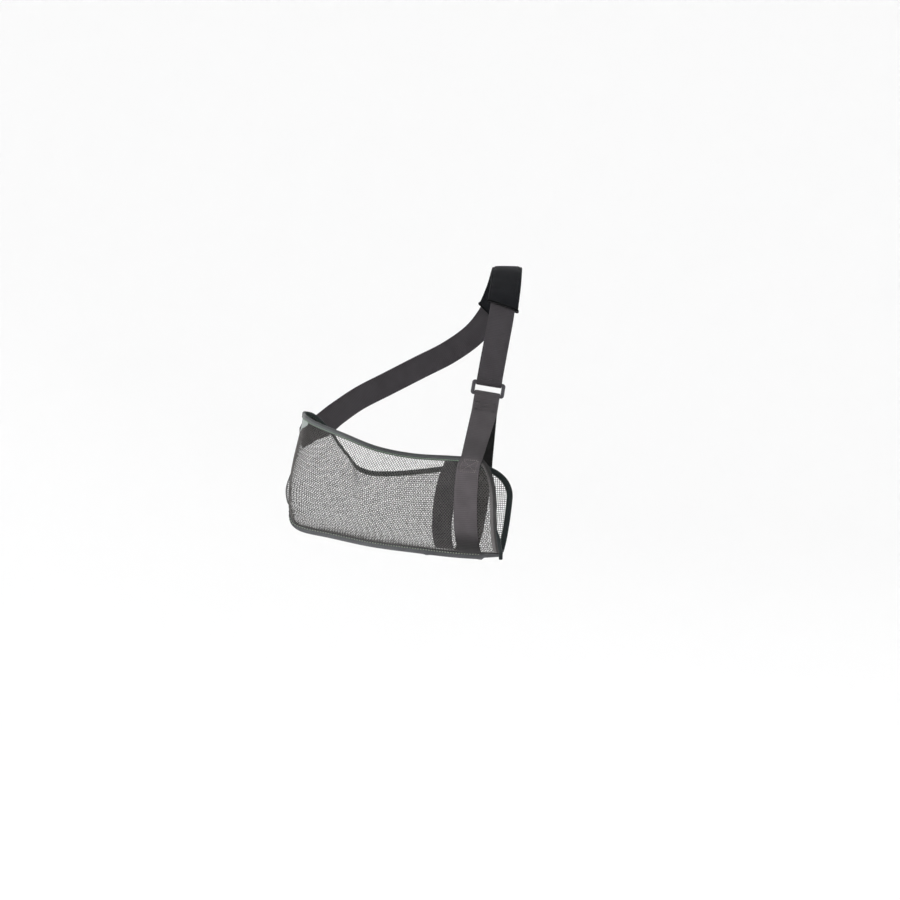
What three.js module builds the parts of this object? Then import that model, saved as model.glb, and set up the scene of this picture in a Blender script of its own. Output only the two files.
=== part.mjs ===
// Arm sling: a see-through mesh pouch with bound edges, a split webbing to a ring buckle,
// and a padded shoulder strap.
// Millimetres, +Z up. The wearer faces -Y. The origin is the underside of the pad on top of the shoulder.
import * as THREE from "three";

const V = (x, y, z) => new THREE.Vector3(x, y, z);

// Pouch: its size, how it hangs, and its lower elbow corner seen from the shoulder seat
const POUCH_LENGTH = 360;
const POUCH_WIDTH = 90;
const POUCH_DEPTH = 165;
const POUCH_YAW = 26.5;
const POUCH_PITCH = 7.5;
const ELBOW_SIDE = 338;
const ELBOW_FORWARD = 28;
const ELBOW_DROP = 392;
const MESH_THICKNESS = 1.2;
const BELLY_LEVEL = 0.35;

// Binding tape on the edges
const TOP_TAPE_WIDTH = 8.5;
const HAND_TAPE_WIDTH = 10;
const TAPE_THICKNESS = 3;
const SEAM_TAPE_WIDTH = 8.5;
const SEAM_TAPE_THICKNESS = 3.8;
const ELBOW_TAPE_WIDTH = 2.6;
const ELBOW_TAPE_THICKNESS = 2.8;
const TAPE_EDGE_SHARE = 0.45;

// Webbing
const WEBBING_WIDTH = 38;
const WEBBING_THICKNESS = 1.6;
const INNER_WIDTH = 30;
const CLEARANCE = 0.35;

// Ring buckle, its place seen from the shoulder seat and how it lies
const RING_WIDTH = 50;
const RING_HEIGHT = 23;
const RING_THICKNESS = 3.2;
const RING_BAR = 5;
const RING_POST = 5.6;
const RING_CORNER = 4.5;
const RING_BEVEL = 0.6;
const RING_SIDE = 32.8;
const RING_FORWARD = 150;
const RING_DROP = 187;
const RING_ROLL = 9.6;
const RING_LEAN = 17;
const TAIL_LENGTH = 44;
const STITCHED_LENGTH = 14;
const LOOP_LENGTH = 13;

// Shoulder strap over the back, and its pad
const BACK_REACH = 128;
const PAD_LENGTH = 238;
const PAD_WIDTH = 47.5;
const PAD_THICKNESS = 11;
const PAD_EDGE_THICKNESS = 6.4;
const PAD_SLANT = 8.7;
const PAD_MARGIN = 0.98;

// The lower seam, elbow to hand, as shares of the pouch's length, breadth and depth
const SEAM_ROWS = [
  { along: -0.008, aside: 0.0, up: 0.12 },
  { along: 0.018, aside: 0.0, up: 0.03 },
  { along: 0.07, aside: 0.0, up: 0.001 },
  { along: 0.2, aside: 0.03, up: -0.012 },
  { along: 0.4, aside: 0.04, up: -0.027 },
  { along: 0.63, aside: 0.03, up: -0.008 },
  { along: 0.8, aside: 0.02, up: 0.013 },
  { along: 1.012, aside: 0.0, up: 0.062 },
];

// Sections of the front panel, elbow to hand. seam is the share of the lower seam's length where the
// section starts, along, aside and up place its top edge, and bulge is how far its belly stands out.
const FRONT_ROWS = [
  { seam: 0.0, along: 0.003, aside: 0.047, up: 1.049, bulgeAlong: -0.02, bulgeAside: 0.0 },
  { seam: 0.06, along: 0.046, aside: -0.15, up: 1.037, bulgeAlong: -0.015, bulgeAside: -0.17 },
  { seam: 0.13, along: 0.11, aside: -0.27, up: 1.002, bulgeAlong: 0.0, bulgeAside: -0.28 },
  { seam: 0.26, along: 0.25, aside: -0.28, up: 0.936, bulgeAlong: 0.0, bulgeAside: -0.34 },
  { seam: 0.42, along: 0.41, aside: -0.24, up: 0.858, bulgeAlong: 0.0, bulgeAside: -0.36 },
  { seam: 0.58, along: 0.58, aside: -0.25, up: 0.84, bulgeAlong: 0.0, bulgeAside: -0.34 },
  { seam: 0.76, along: 0.76, aside: -0.315, up: 0.87, bulgeAlong: 0.0, bulgeAside: -0.27 },
  { seam: 0.9, along: 0.89, aside: -0.335, up: 0.894, bulgeAlong: 0.0, bulgeAside: -0.2 },
  { seam: 1.0, along: 0.985, aside: -0.34, up: 0.914, bulgeAlong: 0.0, bulgeAside: -0.14 },
];

// Sections of the back panel, round the elbow and along the body
const BACK_ROWS = [
  { seam: 0.0, along: 0.003, aside: 0.047, up: 1.049, bulgeAlong: -0.02, bulgeAside: 0.0 },
  { seam: 0.025, along: -0.026, aside: 0.2, up: 1.057, bulgeAlong: -0.026, bulgeAside: 0.13 },
  { seam: 0.06, along: -0.042, aside: 0.385, up: 1.06, bulgeAlong: -0.02, bulgeAside: 0.24 },
  { seam: 0.1, along: -0.024, aside: 0.55, up: 1.045, bulgeAlong: -0.012, bulgeAside: 0.3 },
  { seam: 0.15, along: 0.035, aside: 0.635, up: 0.951, bulgeAlong: -0.01, bulgeAside: 0.33 },
  { seam: 0.2, along: 0.111, aside: 0.63, up: 0.799, bulgeAlong: 0.0, bulgeAside: 0.34 },
  { seam: 0.26, along: 0.19, aside: 0.6, up: 0.65, bulgeAlong: 0.0, bulgeAside: 0.34 },
  { seam: 0.33, along: 0.27, aside: 0.58, up: 0.592, bulgeAlong: 0.0, bulgeAside: 0.33 },
  { seam: 0.43, along: 0.38, aside: 0.57, up: 0.61, bulgeAlong: 0.0, bulgeAside: 0.32 },
  { seam: 0.56, along: 0.52, aside: 0.552, up: 0.672, bulgeAlong: 0.0, bulgeAside: 0.28 },
  { seam: 0.71, along: 0.68, aside: 0.5, up: 0.755, bulgeAlong: 0.0, bulgeAside: 0.22 },
  { seam: 0.86, along: 0.82, aside: 0.455, up: 0.81, bulgeAlong: 0.0, bulgeAside: 0.17 },
  { seam: 1.0, along: 0.97, aside: 0.47, up: 0.86, bulgeAlong: 0.0, bulgeAside: 0.12 },
];

// Soft folds and swells of the panels: station and level of the middle, their reach, and how far they
// stand out along the pouch and aside, as shares of its length and breadth
const FRONT_FOLDS = [
  { station: 0.34, level: 0.62, wide: 0.05, tall: 0.4, along: 0.0, aside: -0.022 },
  { station: 0.62, level: 0.72, wide: 0.06, tall: 0.3, along: 0.0, aside: 0.02 },
];
const BACK_FOLDS = [
  { station: 0.1, level: 0.23, wide: 0.065, tall: 0.2, along: -0.042, aside: 0.0 },
  { station: 0.47, level: 0.8, wide: 0.028, tall: 0.38, along: 0.0, aside: 0.06 },
  { station: 0.54, level: 0.75, wide: 0.03, tall: 0.4, along: 0.0, aside: -0.055 },
  { station: 0.72, level: 0.6, wide: 0.06, tall: 0.4, along: 0.0, aside: 0.03 },
];

// Rounded hand-end corners: where the arc starts along the top edge, and its fall as a share of the depth
const FRONT_CORNER = { station: 0.87, fall: 0.46 };
const BACK_CORNER = { station: 0.893, fall: 0.4 };

// Where the webbing is sewn: shares of the pouch's length at the bottom and the top of the panel,
// and on its edge
const FRONT_WEBBING = { bottom: 0.883, top: 0.862, edge: 0.876 };
const BACK_WEBBING = { bottom: 0.835, top: 0.812, edge: 0.812 };
const INNER_STRAP = { bottom: 0.765, middle: 0.774, top: 0.795 };
const STRAP_END = { fromStation: 0.275, fromLevel: 0.9, toStation: 0.115, toLevel: 0.75 };

// The shoulder strap from the ring to the shoulder, as shares of the ring's place, with its outward normal
const CHEST_ROWS = [
  { side: 0.8, forward: 0.94, drop: 0.8, face: V(0, -0.96, 0.28) },
  { side: 0.58, forward: 0.86, drop: 0.6, face: V(0, -0.93, 0.37) },
  { side: 0.385, forward: 0.733, drop: 0.428, face: V(0, -0.83, 0.55) },
  { side: 0.24, forward: 0.573, drop: 0.267, face: V(0, -0.7, 0.71) },
  { side: 0.12, forward: 0.387, drop: 0.128, face: V(0, -0.52, 0.85) },
  { side: 0.04, forward: 0.187, drop: 0.012, face: V(0.03, -0.27, 0.96) },
];

// From the shoulder over the back to the elbow corner, as shares of the way to where the strap is sewn
const SPINE_ROWS = [
  { side: 0.005, back: 0.234, drop: 0.0, face: V(0.05, 0.28, 0.96) },
  { side: 0.027, back: 0.469, drop: 0.09, face: V(0.1, 0.6, 0.79) },
  { side: 0.078, back: 0.69, drop: 0.226, face: V(0.12, 0.85, 0.5) },
  { side: 0.165, back: 0.875, drop: 0.362, face: V(0.1, 0.97, 0.22) },
  { side: 0.304, back: 0.99, drop: 0.484, face: V(0, 1, 0.1) },
  { side: 0.473, back: 1.0, drop: 0.59, face: V(-0.1, 0.99, 0) },
  { side: 0.642, back: 0.87, drop: 0.7, face: V(-0.34, 0.94, 0) },
  { side: 0.797, back: 0.6, drop: 0.806, face: V(-0.5, 0.86, 0.03) },
  { side: 0.912, back: 0.315, drop: 0.912, face: V(-0.36, 0.93, 0.06) },
];

// The pouch's own directions
const yaw = THREE.MathUtils.degToRad(POUCH_YAW);
const pitch = THREE.MathUtils.degToRad(POUCH_PITCH);
const ALONG = V(Math.cos(pitch) * Math.cos(yaw), -Math.cos(pitch) * Math.sin(yaw), -Math.sin(pitch));
const ASIDE = V(Math.sin(yaw), Math.cos(yaw), 0);
const UP = V(Math.sin(pitch) * Math.cos(yaw), -Math.sin(pitch) * Math.sin(yaw), Math.cos(pitch));
const CORNER = V(-ELBOW_SIDE, -ELBOW_FORWARD, -ELBOW_DROP);

function pouchVector(along, aside, up) {
  return V(0, 0, 0)
    .addScaledVector(ALONG, along * POUCH_LENGTH)
    .addScaledVector(ASIDE, aside * POUCH_WIDTH)
    .addScaledVector(UP, up * POUCH_DEPTH);
}

const curveOf = (points) => new THREE.CatmullRomCurve3(points, false, "centripetal");

// A point on a curve, which goes on straight past its ends
function pointOn(curve, t) {
  const inside = THREE.MathUtils.clamp(t, 0, 1);
  const point = curve.getPoint(inside);
  if (inside === t) return point;
  return point.addScaledVector(curve.getTangent(inside), (t - inside) * curve.getLength());
}

const seamCurve = curveOf(SEAM_ROWS.map((r) => pouchVector(r.along, r.aside, r.up).add(CORNER)));

// Half the way between the two panels' walls where they meet at the seam
const SEAM_SPLIT = (MESH_THICKNESS + CLEARANCE) / 2;

// How far the cloth stands out at a level between the seam and the top edge: round below, slack above
function belly(level) {
  if (level < BELLY_LEVEL) return Math.sqrt(Math.max(0, 1 - (1 - level / BELLY_LEVEL) ** 2));
  return 1 - ((level - BELLY_LEVEL) / (1 - BELLY_LEVEL)) ** 2;
}

// Below this level, and before this station, folds and swells fade out to the seams
const SWELL_START = 0.12;
const SWELL_SIDE = 0.06;

// A panel's surface: at(station, level) gives a point, station from elbow to hand and level from the seam
// to the top edge
function panelSurface(rows, folds, outward) {
  const starts = curveOf(rows.map((r) => seamCurve.getPointAt(r.seam)));
  const tops = curveOf(rows.map((r) => pouchVector(r.along, r.aside, r.up).add(CORNER)));
  const bulges = curveOf(rows.map((r) => pouchVector(r.bulgeAlong, r.bulgeAside, 0)));
  return function at(station, level) {
    const start = pointOn(starts, station).addScaledVector(ASIDE, outward * SEAM_SPLIT);
    const point = start.lerp(pointOn(tops, station), level);
    const bulge = bulges.getPoint(THREE.MathUtils.clamp(station, 0, 1));
    const bulgeAlong = bulge.dot(ALONG);
    point.addScaledVector(ASIDE, bulge.dot(ASIDE) * belly(level));
    point.addScaledVector(ALONG, bulgeAlong * belly(level) ** 2);
    for (const f of folds) {
      const away = ((station - f.station) / f.wide) ** 2 + ((level - f.level) / f.tall) ** 2;
      const fade = Math.min(1, level / SWELL_START) * THREE.MathUtils.smoothstep(station, 0, SWELL_SIDE);
      const swell = Math.exp(-away) * fade;
      point.addScaledVector(ALONG, swell * f.along * POUCH_LENGTH);
      point.addScaledVector(ASIDE, swell * f.aside * POUCH_WIDTH);
    }
    return point;
  };
}

const frontAt = panelSurface(FRONT_ROWS, FRONT_FOLDS, -1);
const backAt = panelSurface(BACK_ROWS, BACK_FOLDS, 1);

// The outward normal of a panel's surface
function normalAt(at, station, level, outward) {
  const step = 0.004;
  const across = at(station + step, level).sub(at(station - step, level));
  const rise = at(station, level + step).sub(at(station, level - step));
  return across.cross(rise).normalize().multiplyScalar(-outward);
}

// How many millimetres one whole station and one whole level are at a place
function reachAt(at, station, level) {
  const step = 0.01;
  const across = at(station + step, level).distanceTo(at(station - step, level)) / (2 * step);
  const rise = at(station, level + step).distanceTo(at(station, level - step)) / (2 * step);
  return { across, rise };
}

// The station at which a level of a panel reaches a share of the pouch's length
function stationAlong(at, level, share) {
  let low = 0.2;
  let high = 1;
  for (let i = 0; i < 40; i++) {
    const middle = (low + high) / 2;
    const along = at(middle, level).sub(CORNER).dot(ALONG) / POUCH_LENGTH;
    if (along < share) low = middle;
    else high = middle;
  }
  return (low + high) / 2;
}

// A closed wall over a grid of points, grid[row][column]. The thickness may differ from column to column.
function wall(grid, thicknessOf) {
  const rows = grid.length;
  const columns = grid[0].length;
  const positions = [];
  const push = (p) => positions.push(p.x, p.y, p.z);
  const offsets = grid.map((line, i) =>
    line.map((point, j) => {
      const next = grid[Math.min(i + 1, rows - 1)][j];
      const last = grid[Math.max(i - 1, 0)][j];
      const right = line[Math.min(j + 1, columns - 1)];
      const left = line[Math.max(j - 1, 0)];
      const normal = next.clone().sub(last).cross(right.clone().sub(left)).normalize();
      return normal.multiplyScalar(thicknessOf(j, columns) / 2);
    }),
  );
  grid.forEach((line, i) => line.forEach((p, j) => push(p.clone().add(offsets[i][j]))));
  grid.forEach((line, i) => line.forEach((p, j) => push(p.clone().sub(offsets[i][j]))));
  const upper = (i, j) => i * columns + j;
  const lower = (i, j) => rows * columns + upper(i, j);
  const index = [];
  const quad = (a, b, c, d) => index.push(a, b, c, a, c, d);
  for (let i = 0; i + 1 < rows; i++) {
    for (let j = 0; j + 1 < columns; j++) {
      quad(upper(i, j), upper(i + 1, j), upper(i + 1, j + 1), upper(i, j + 1));
      quad(lower(i, j), lower(i, j + 1), lower(i + 1, j + 1), lower(i + 1, j));
    }
    quad(upper(i, 0), lower(i, 0), lower(i + 1, 0), upper(i + 1, 0));
    const j = columns - 1;
    quad(upper(i + 1, j), lower(i + 1, j), lower(i, j), upper(i, j));
  }
  for (let j = 0; j + 1 < columns; j++) {
    quad(upper(0, j + 1), lower(0, j + 1), lower(0, j), upper(0, j));
    quad(upper(rows - 1, j), lower(rows - 1, j), lower(rows - 1, j + 1), upper(rows - 1, j + 1));
  }
  return geometryOf(positions, index);
}

function geometryOf(positions, index) {
  const geometry = new THREE.BufferGeometry();
  geometry.setAttribute("position", new THREE.Float32BufferAttribute(positions, 3));
  geometry.setIndex(index);
  geometry.computeVertexNormals();
  return geometry;
}

const even = (thickness) => () => thickness;
const tapered = (thickness) => (j, columns) =>
  j === 0 || j === columns - 1 ? thickness * TAPE_EDGE_SHARE : thickness;
const steps = (count, low = 0, high = 1) =>
  Array.from({ length: count + 1 }, (_, i) => low + ((high - low) * i) / count);

// A panel's outline along its top edge and hand end, drawn in by an inset in millimetres for each
const TOP_STEPS = 22;
const ARC_STEPS = 7;
const HAND_STEPS = 8;
const HAND_STOP = 0.02;
function outline(at, corner, topInset, handInset) {
  const topReach = (station) => topInset / reachAt(at, station, 0.95).rise;
  const hand = 1 - handInset / reachAt(at, 0.97, 0.5).across;
  const middle = { station: corner.station, level: 1 - corner.fall };
  const topOfArc = 1 - topReach(middle.station);
  const top = steps(TOP_STEPS, 0, middle.station).map((s) => ({ station: s, level: 1 - topReach(s) }));
  const arc = steps(ARC_STEPS, 0, Math.PI / 2).map((angle) => ({
    station: middle.station + (hand - middle.station) * Math.sin(angle),
    level: middle.level + (topOfArc - middle.level) * Math.cos(angle),
  }));
  const end = steps(HAND_STEPS, middle.level, 0).map((level) => ({ station: hand, level }));
  return { top, arc: arc.slice(1), end: end.slice(1) };
}

// The height of a panel under its outline at a station
function ceiling(edge, station) {
  const points = [...edge.top, ...edge.arc];
  for (let i = 1; i < points.length; i++) {
    if (station <= points[i].station + 1e-9) {
      const a = points[i - 1];
      const b = points[i];
      const share = (station - a.station) / Math.max(b.station - a.station, 1e-9);
      return a.level + (b.level - a.level) * share;
    }
  }
  return points[points.length - 1].level;
}

// Levels of a panel's grid: even steps round its belly, then up to the edge
const SEAM_LEVEL = 0.0006;
const ROUND_STEPS = 6;
const SLACK_STEPS = 5;
const PANEL_LEVELS = [
  ...steps(ROUND_STEPS, 0, Math.PI / 2).map((angle) => BELLY_LEVEL * (1 - Math.cos(angle))),
  ...steps(SLACK_STEPS, BELLY_LEVEL, 1).slice(1),
];

// The mesh wall itself, inside the binding
function panel(at, corner) {
  const edge = outline(at, corner, TOP_TAPE_WIDTH + CLEARANCE, HAND_TAPE_WIDTH + CLEARANCE);
  const elbow = (ELBOW_TAPE_THICKNESS / 2 + CLEARANCE) / reachAt(at, 0.02, 0.5).across;
  const stations = [elbow, ...edge.top.map((p) => p.station).filter((s) => s > 1.5 * elbow)];
  stations.push(...edge.arc.map((p) => p.station));
  const grid = stations.map((station) => {
    const roof = ceiling(edge, station);
    return PANEL_LEVELS.map((share) => at(station, SEAM_LEVEL + (roof - SEAM_LEVEL) * share));
  });
  return wall(grid, even(MESH_THICKNESS));
}

// A strip of tape between the outline and the mesh wall
const TAPE_COLUMNS = [0, 0.22, 0.78, 1];
function tape(at, outer, inner) {
  const grid = outer.map((o, i) =>
    TAPE_COLUMNS.map((share) =>
      at(
        o.station + (inner[i].station - o.station) * share,
        o.level + (inner[i].level - o.level) * share,
      ),
    ),
  );
  return wall(grid, tapered(TAPE_THICKNESS));
}

// Tape along the seam, standing out from it. outwardOf gives the direction at each point.
const SEAM_GAP = MESH_THICKNESS / 2 + CLEARANCE;
function seamTape(points, outwardOf, widthOf, thickness) {
  const grid = points.map((point, i) => {
    const next = points[Math.min(i + 1, points.length - 1)];
    const last = points[Math.max(i - 1, 0)];
    const out = outwardOf(next.clone().sub(last).normalize());
    const width = widthOf(i / (points.length - 1));
    return TAPE_COLUMNS.map((share) => point.clone().addScaledVector(out, SEAM_GAP + width * share));
  });
  return wall(grid, tapered(thickness));
}

// Webbing sewn on a panel: lines of points across it, a height above the surface
const ACROSS = [-1, -0.5, 0, 0.5, 1];
function sewn(at, outward, levels, shareOf, liftOf, width) {
  return levels.map((level) => {
    const station = stationAlong(at, level, shareOf(level));
    const half = width / 2 / reachAt(at, station, level).across;
    return ACROSS.map((k) => {
      const point = at(station + k * half, level);
      return point.addScaledVector(normalAt(at, station + k * half, level, outward), liftOf(level));
    });
  });
}

// A line of points across a free ribbon
function line(centre, across, width) {
  return ACROSS.map((k) => centre.clone().addScaledVector(across, (k * width) / 2));
}

// The ring's own directions: along its bars, up the straps, and out towards the viewer
const roll = THREE.MathUtils.degToRad(RING_ROLL);
const lean = THREE.MathUtils.degToRad(RING_LEAN);
const BAR = V(Math.cos(roll), 0, -Math.sin(roll));
const PULL = V(Math.sin(roll) * Math.cos(lean), Math.sin(lean), Math.cos(roll) * Math.cos(lean));
const OUT = BAR.clone().cross(PULL).normalize();
const RING_CENTRE = V(-RING_SIDE, -RING_FORWARD, -RING_DROP);
const BAR_OFFSET = (RING_HEIGHT - RING_BAR) / 2;
const LOOP_RADIUS = Math.hypot(RING_BAR, RING_THICKNESS) / 2 + CLEARANCE + WEBBING_THICKNESS / 2;
const PLY_OFFSET = (WEBBING_THICKNESS + CLEARANCE) / 2;

// A point in the ring's plane, from the middle of a bar
function ringPoint(side, out, up) {
  return RING_CENTRE.clone()
    .addScaledVector(PULL, side * BAR_OFFSET + up)
    .addScaledVector(OUT, out);
}

// The turn of a strap round a bar, front to back. side is 1 for the upper bar and -1 for the lower.
const TURN_STEPS = 8;
function turn(side) {
  return steps(TURN_STEPS, 0, Math.PI).map((angle) =>
    line(
      ringPoint(side, LOOP_RADIUS * Math.cos(angle), -side * LOOP_RADIUS * Math.sin(angle)),
      BAR,
      WEBBING_WIDTH,
    ),
  );
}

// Steps of a taut ribbon between two of its lines
function between(from, to, shares) {
  return shares.map((share) => from.map((point, k) => point.clone().lerp(to[k], share)));
}

function frontPanel() {
  return panel(frontAt, FRONT_CORNER);
}

function backPanel() {
  return panel(backAt, BACK_CORNER);
}

function bothOutlines(at, corner) {
  return [outline(at, corner, 0, 0), outline(at, corner, TOP_TAPE_WIDTH, HAND_TAPE_WIDTH)];
}

// Lifts the first point of a tape off the elbow seam
function offSeam(points, at, gap) {
  const first = gap / reachAt(at, 0.02, 0.95).across;
  return points.map((p, i) => (i === 0 ? { station: first, level: p.level } : p));
}

function frontTopBinding() {
  const [outer, inner] = bothOutlines(frontAt, FRONT_CORNER);
  const gap = CLEARANCE / 2;
  return tape(frontAt, offSeam(outer.top, frontAt, gap), offSeam(inner.top, frontAt, gap));
}

// The last stretch of tape stops just above the seam
function endOf(points) {
  return points.map((p) => ({ station: p.station, level: Math.max(p.level, HAND_STOP) }));
}

function frontHandBinding() {
  const [outer, inner] = bothOutlines(frontAt, FRONT_CORNER);
  const step = CLEARANCE / reachAt(frontAt, FRONT_CORNER.station, 0.95).across;
  const start = (edge) => {
    const corner = edge.top[edge.top.length - 1];
    return { station: corner.station + step, level: corner.level };
  };
  const path = (edge) => [start(edge), ...edge.arc, ...endOf(edge.end)];
  return tape(frontAt, path(outer), path(inner));
}

function backBinding() {
  const [outer, inner] = bothOutlines(backAt, BACK_CORNER);
  const gap = CLEARANCE / 2;
  const path = (edge) => [
    ...offSeam(edge.top, backAt, gap),
    ...edge.arc,
    ...endOf(edge.end),
  ];
  return tape(backAt, path(outer), path(inner));
}

function bottomBinding() {
  const points = steps(30).map((share) => seamCurve.getPointAt(share));
  const outwardOf = (direction) => ASIDE.clone().cross(direction).normalize();
  const widthOf = (share) =>
    ELBOW_TAPE_WIDTH + (SEAM_TAPE_WIDTH - ELBOW_TAPE_WIDTH) * THREE.MathUtils.smoothstep(share, 0, 0.1);
  return seamTape(points, outwardOf, widthOf, SEAM_TAPE_THICKNESS);
}

function elbowSeam() {
  const low = 0.045;
  const high = 1 - (TOP_TAPE_WIDTH + CLEARANCE) / reachAt(frontAt, 0, 0.95).rise;
  const points = steps(10, low, high).map((level) => frontAt(0, level));
  const step = 0.03;
  const through = frontAt(step, 0.5).sub(backAt(step, 0.5)).normalize();
  const outwardOf = (direction) => direction.clone().cross(through).normalize();
  return seamTape(points, outwardOf, even(ELBOW_TAPE_WIDTH), ELBOW_TAPE_THICKNESS);
}

// How far webbing lies off a panel: on the mesh below, and over the binding at the top
const MESH_LIFT = MESH_THICKNESS / 2 + CLEARANCE + WEBBING_THICKNESS / 2;
const TAPE_LIFT = TAPE_THICKNESS / 2 + CLEARANCE + WEBBING_THICKNESS / 2;
function lift(level) {
  const rise = THREE.MathUtils.smoothstep(level, 0.8, 0.93);
  return MESH_LIFT + (TAPE_LIFT - MESH_LIFT) * rise;
}

// The webbing's own levels are the panel's under it, from just above the seam
const SEWN_START = 0.005;
function sewnLevels(at, station) {
  const roof = 1 - TOP_TAPE_WIDTH / reachAt(at, station, 0.95).rise;
  return PANEL_LEVELS.map((share) => Math.max(SEWN_START, share * roof));
}

const LEG_SHARES = [0.12, 0.3, 0.5, 0.7, 0.88];

// The level from which the webbing leans towards the ring
const EDGE_BEND = 0.88;

// One webbing: up the front panel, through the ring's lower bar, and down to the back panel
function splitWebbing() {
  const share = (place) => (level) =>
    place.bottom +
    (place.top - place.bottom) * level +
    (place.edge - place.top) * THREE.MathUtils.smoothstep(level, EDGE_BEND, 1);
  const frontLevels = [...sewnLevels(frontAt, FRONT_CORNER.station), 1];
  const backLevels = [...sewnLevels(backAt, BACK_CORNER.station), 1].reverse();
  const front = sewn(frontAt, -1, frontLevels, share(FRONT_WEBBING), lift, WEBBING_WIDTH);
  const back = sewn(backAt, 1, backLevels, share(BACK_WEBBING), lift, WEBBING_WIDTH);
  const low = -(LOOP_LENGTH + STITCHED_LENGTH);
  const plies = (out) => [line(ringPoint(-1, out, low), BAR, WEBBING_WIDTH)];
  const near = (out) => [line(ringPoint(-1, out, -LOOP_LENGTH), BAR, WEBBING_WIDTH)];
  const frontLeg = between(front[front.length - 1], plies(PLY_OFFSET)[0], LEG_SHARES);
  const backLeg = between(plies(-PLY_OFFSET)[0], back[0], LEG_SHARES);
  return wall(
    [
      ...front,
      ...frontLeg,
      ...plies(PLY_OFFSET),
      ...near(PLY_OFFSET),
      ...turn(-1),
      ...near(-PLY_OFFSET),
      ...plies(-PLY_OFFSET),
      ...backLeg,
      ...back,
    ],
    even(WEBBING_THICKNESS),
  );
}

function innerStrap() {
  const levels = sewnLevels(frontAt, FRONT_CORNER.station).slice(1);
  const { bottom, middle, top } = INNER_STRAP;
  const shareOf = (level) =>
    level < 0.5
      ? bottom + (middle - bottom) * (level / 0.5)
      : middle + (top - middle) * ((level - 0.5) / 0.5) ** 2;
  return wall(sewn(frontAt, -1, levels, shareOf, () => -MESH_LIFT, INNER_WIDTH), even(WEBBING_THICKNESS));
}

// The strap's sewn end on the back panel, as places on the panel with their centres and outward normals
const END_STEPS = 5;
const END_LIFT = TAPE_LIFT + 2 * CLEARANCE;
function strapEnd() {
  const { fromStation, fromLevel, toStation, toLevel } = STRAP_END;
  return steps(END_STEPS).map((share) => {
    const station = fromStation + (toStation - fromStation) * share;
    const level = fromLevel + (toLevel - fromLevel) * share;
    const face = normalAt(backAt, station, level, 1);
    return { station, level, face, centre: backAt(station, level).addScaledVector(face, END_LIFT) };
  });
}

// A line of points that follows the back panel on both sides of a place
function lineOn(place, across) {
  const { station, level } = place;
  const step = 0.01;
  const acrossPanel = backAt(station + step, level).sub(backAt(station - step, level));
  const upPanel = backAt(station, level + step).sub(backAt(station, level - step));
  acrossPanel.divideScalar(2 * step);
  upPanel.divideScalar(2 * step);
  const [aa, ab, bb] = [acrossPanel.lengthSq(), acrossPanel.dot(upPanel), upPanel.lengthSq()];
  const [ac, bc] = [acrossPanel.dot(across), upPanel.dot(across)];
  const stationStep = (ac * bb - bc * ab) / (aa * bb - ab * ab);
  const levelStep = (bc * aa - ac * ab) / (aa * bb - ab * ab);
  return ACROSS.map((k) => {
    const reach = (k * WEBBING_WIDTH) / 2;
    const s = station + reach * stationStep;
    const l = level + reach * levelStep;
    return backAt(s, l).addScaledVector(normalAt(backAt, s, l, 1), END_LIFT);
  });
}

// The way of the shoulder strap from the ring to the elbow corner: centres and outward normals
const PAD_SEAT = PAD_THICKNESS / 2;
function shoulderWay() {
  const end = strapEnd();
  const target = end[0].centre;
  const way = [{ centre: ringPoint(1, PLY_OFFSET, LOOP_LENGTH), face: OUT }];
  for (const r of CHEST_ROWS) {
    way.push({
      centre: V(-r.side * RING_SIDE, -r.forward * RING_FORWARD, -r.drop * RING_DROP),
      face: r.face,
    });
  }
  way.push({ centre: V(0, 0, PAD_SEAT), face: V(0, 0, 1) });
  for (const r of SPINE_ROWS) {
    way.push({
      centre: V(r.side * target.x, r.back * BACK_REACH, r.drop * target.z),
      face: r.face,
    });
  }
  return [...way, ...end];
}

const way = shoulderWay();
const centres = curveOf(way.map((w) => w.centre));
const faces = curveOf(way.map((w) => w.face));
const SEAT_INDEX = way.findIndex((w) => w.centre.x === 0);
const WAY_STEPS = 900;
const lengths = centres.getLengths(WAY_STEPS);

// The curve's parameter at a length from its start
function parameterAt(distance) {
  let i = 1;
  while (i < WAY_STEPS && lengths[i] < distance) i++;
  const share = (distance - lengths[i - 1]) / (lengths[i] - lengths[i - 1]);
  return (i - 1 + share) / WAY_STEPS;
}

// Centre, direction across and outward normal of the strap at a length from the ring
function strapFrame(distance) {
  const parameter = THREE.MathUtils.clamp(parameterAt(distance), 0, 1);
  const centre = centres.getPoint(parameter);
  const tangent = centres.getTangent(parameter);
  const across = tangent.clone().cross(faces.getPoint(parameter)).normalize();
  return { centre, across, face: across.clone().cross(tangent).normalize() };
}

const lengthTo = (place) => lengths[Math.round((place / (way.length - 1)) * WAY_STEPS)];
const SEAT_LENGTH = lengthTo(SEAT_INDEX);
const SEWN_LENGTH = lengthTo(way.length - 1 - END_STEPS);
const STRAP_STEP = 11;

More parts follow.
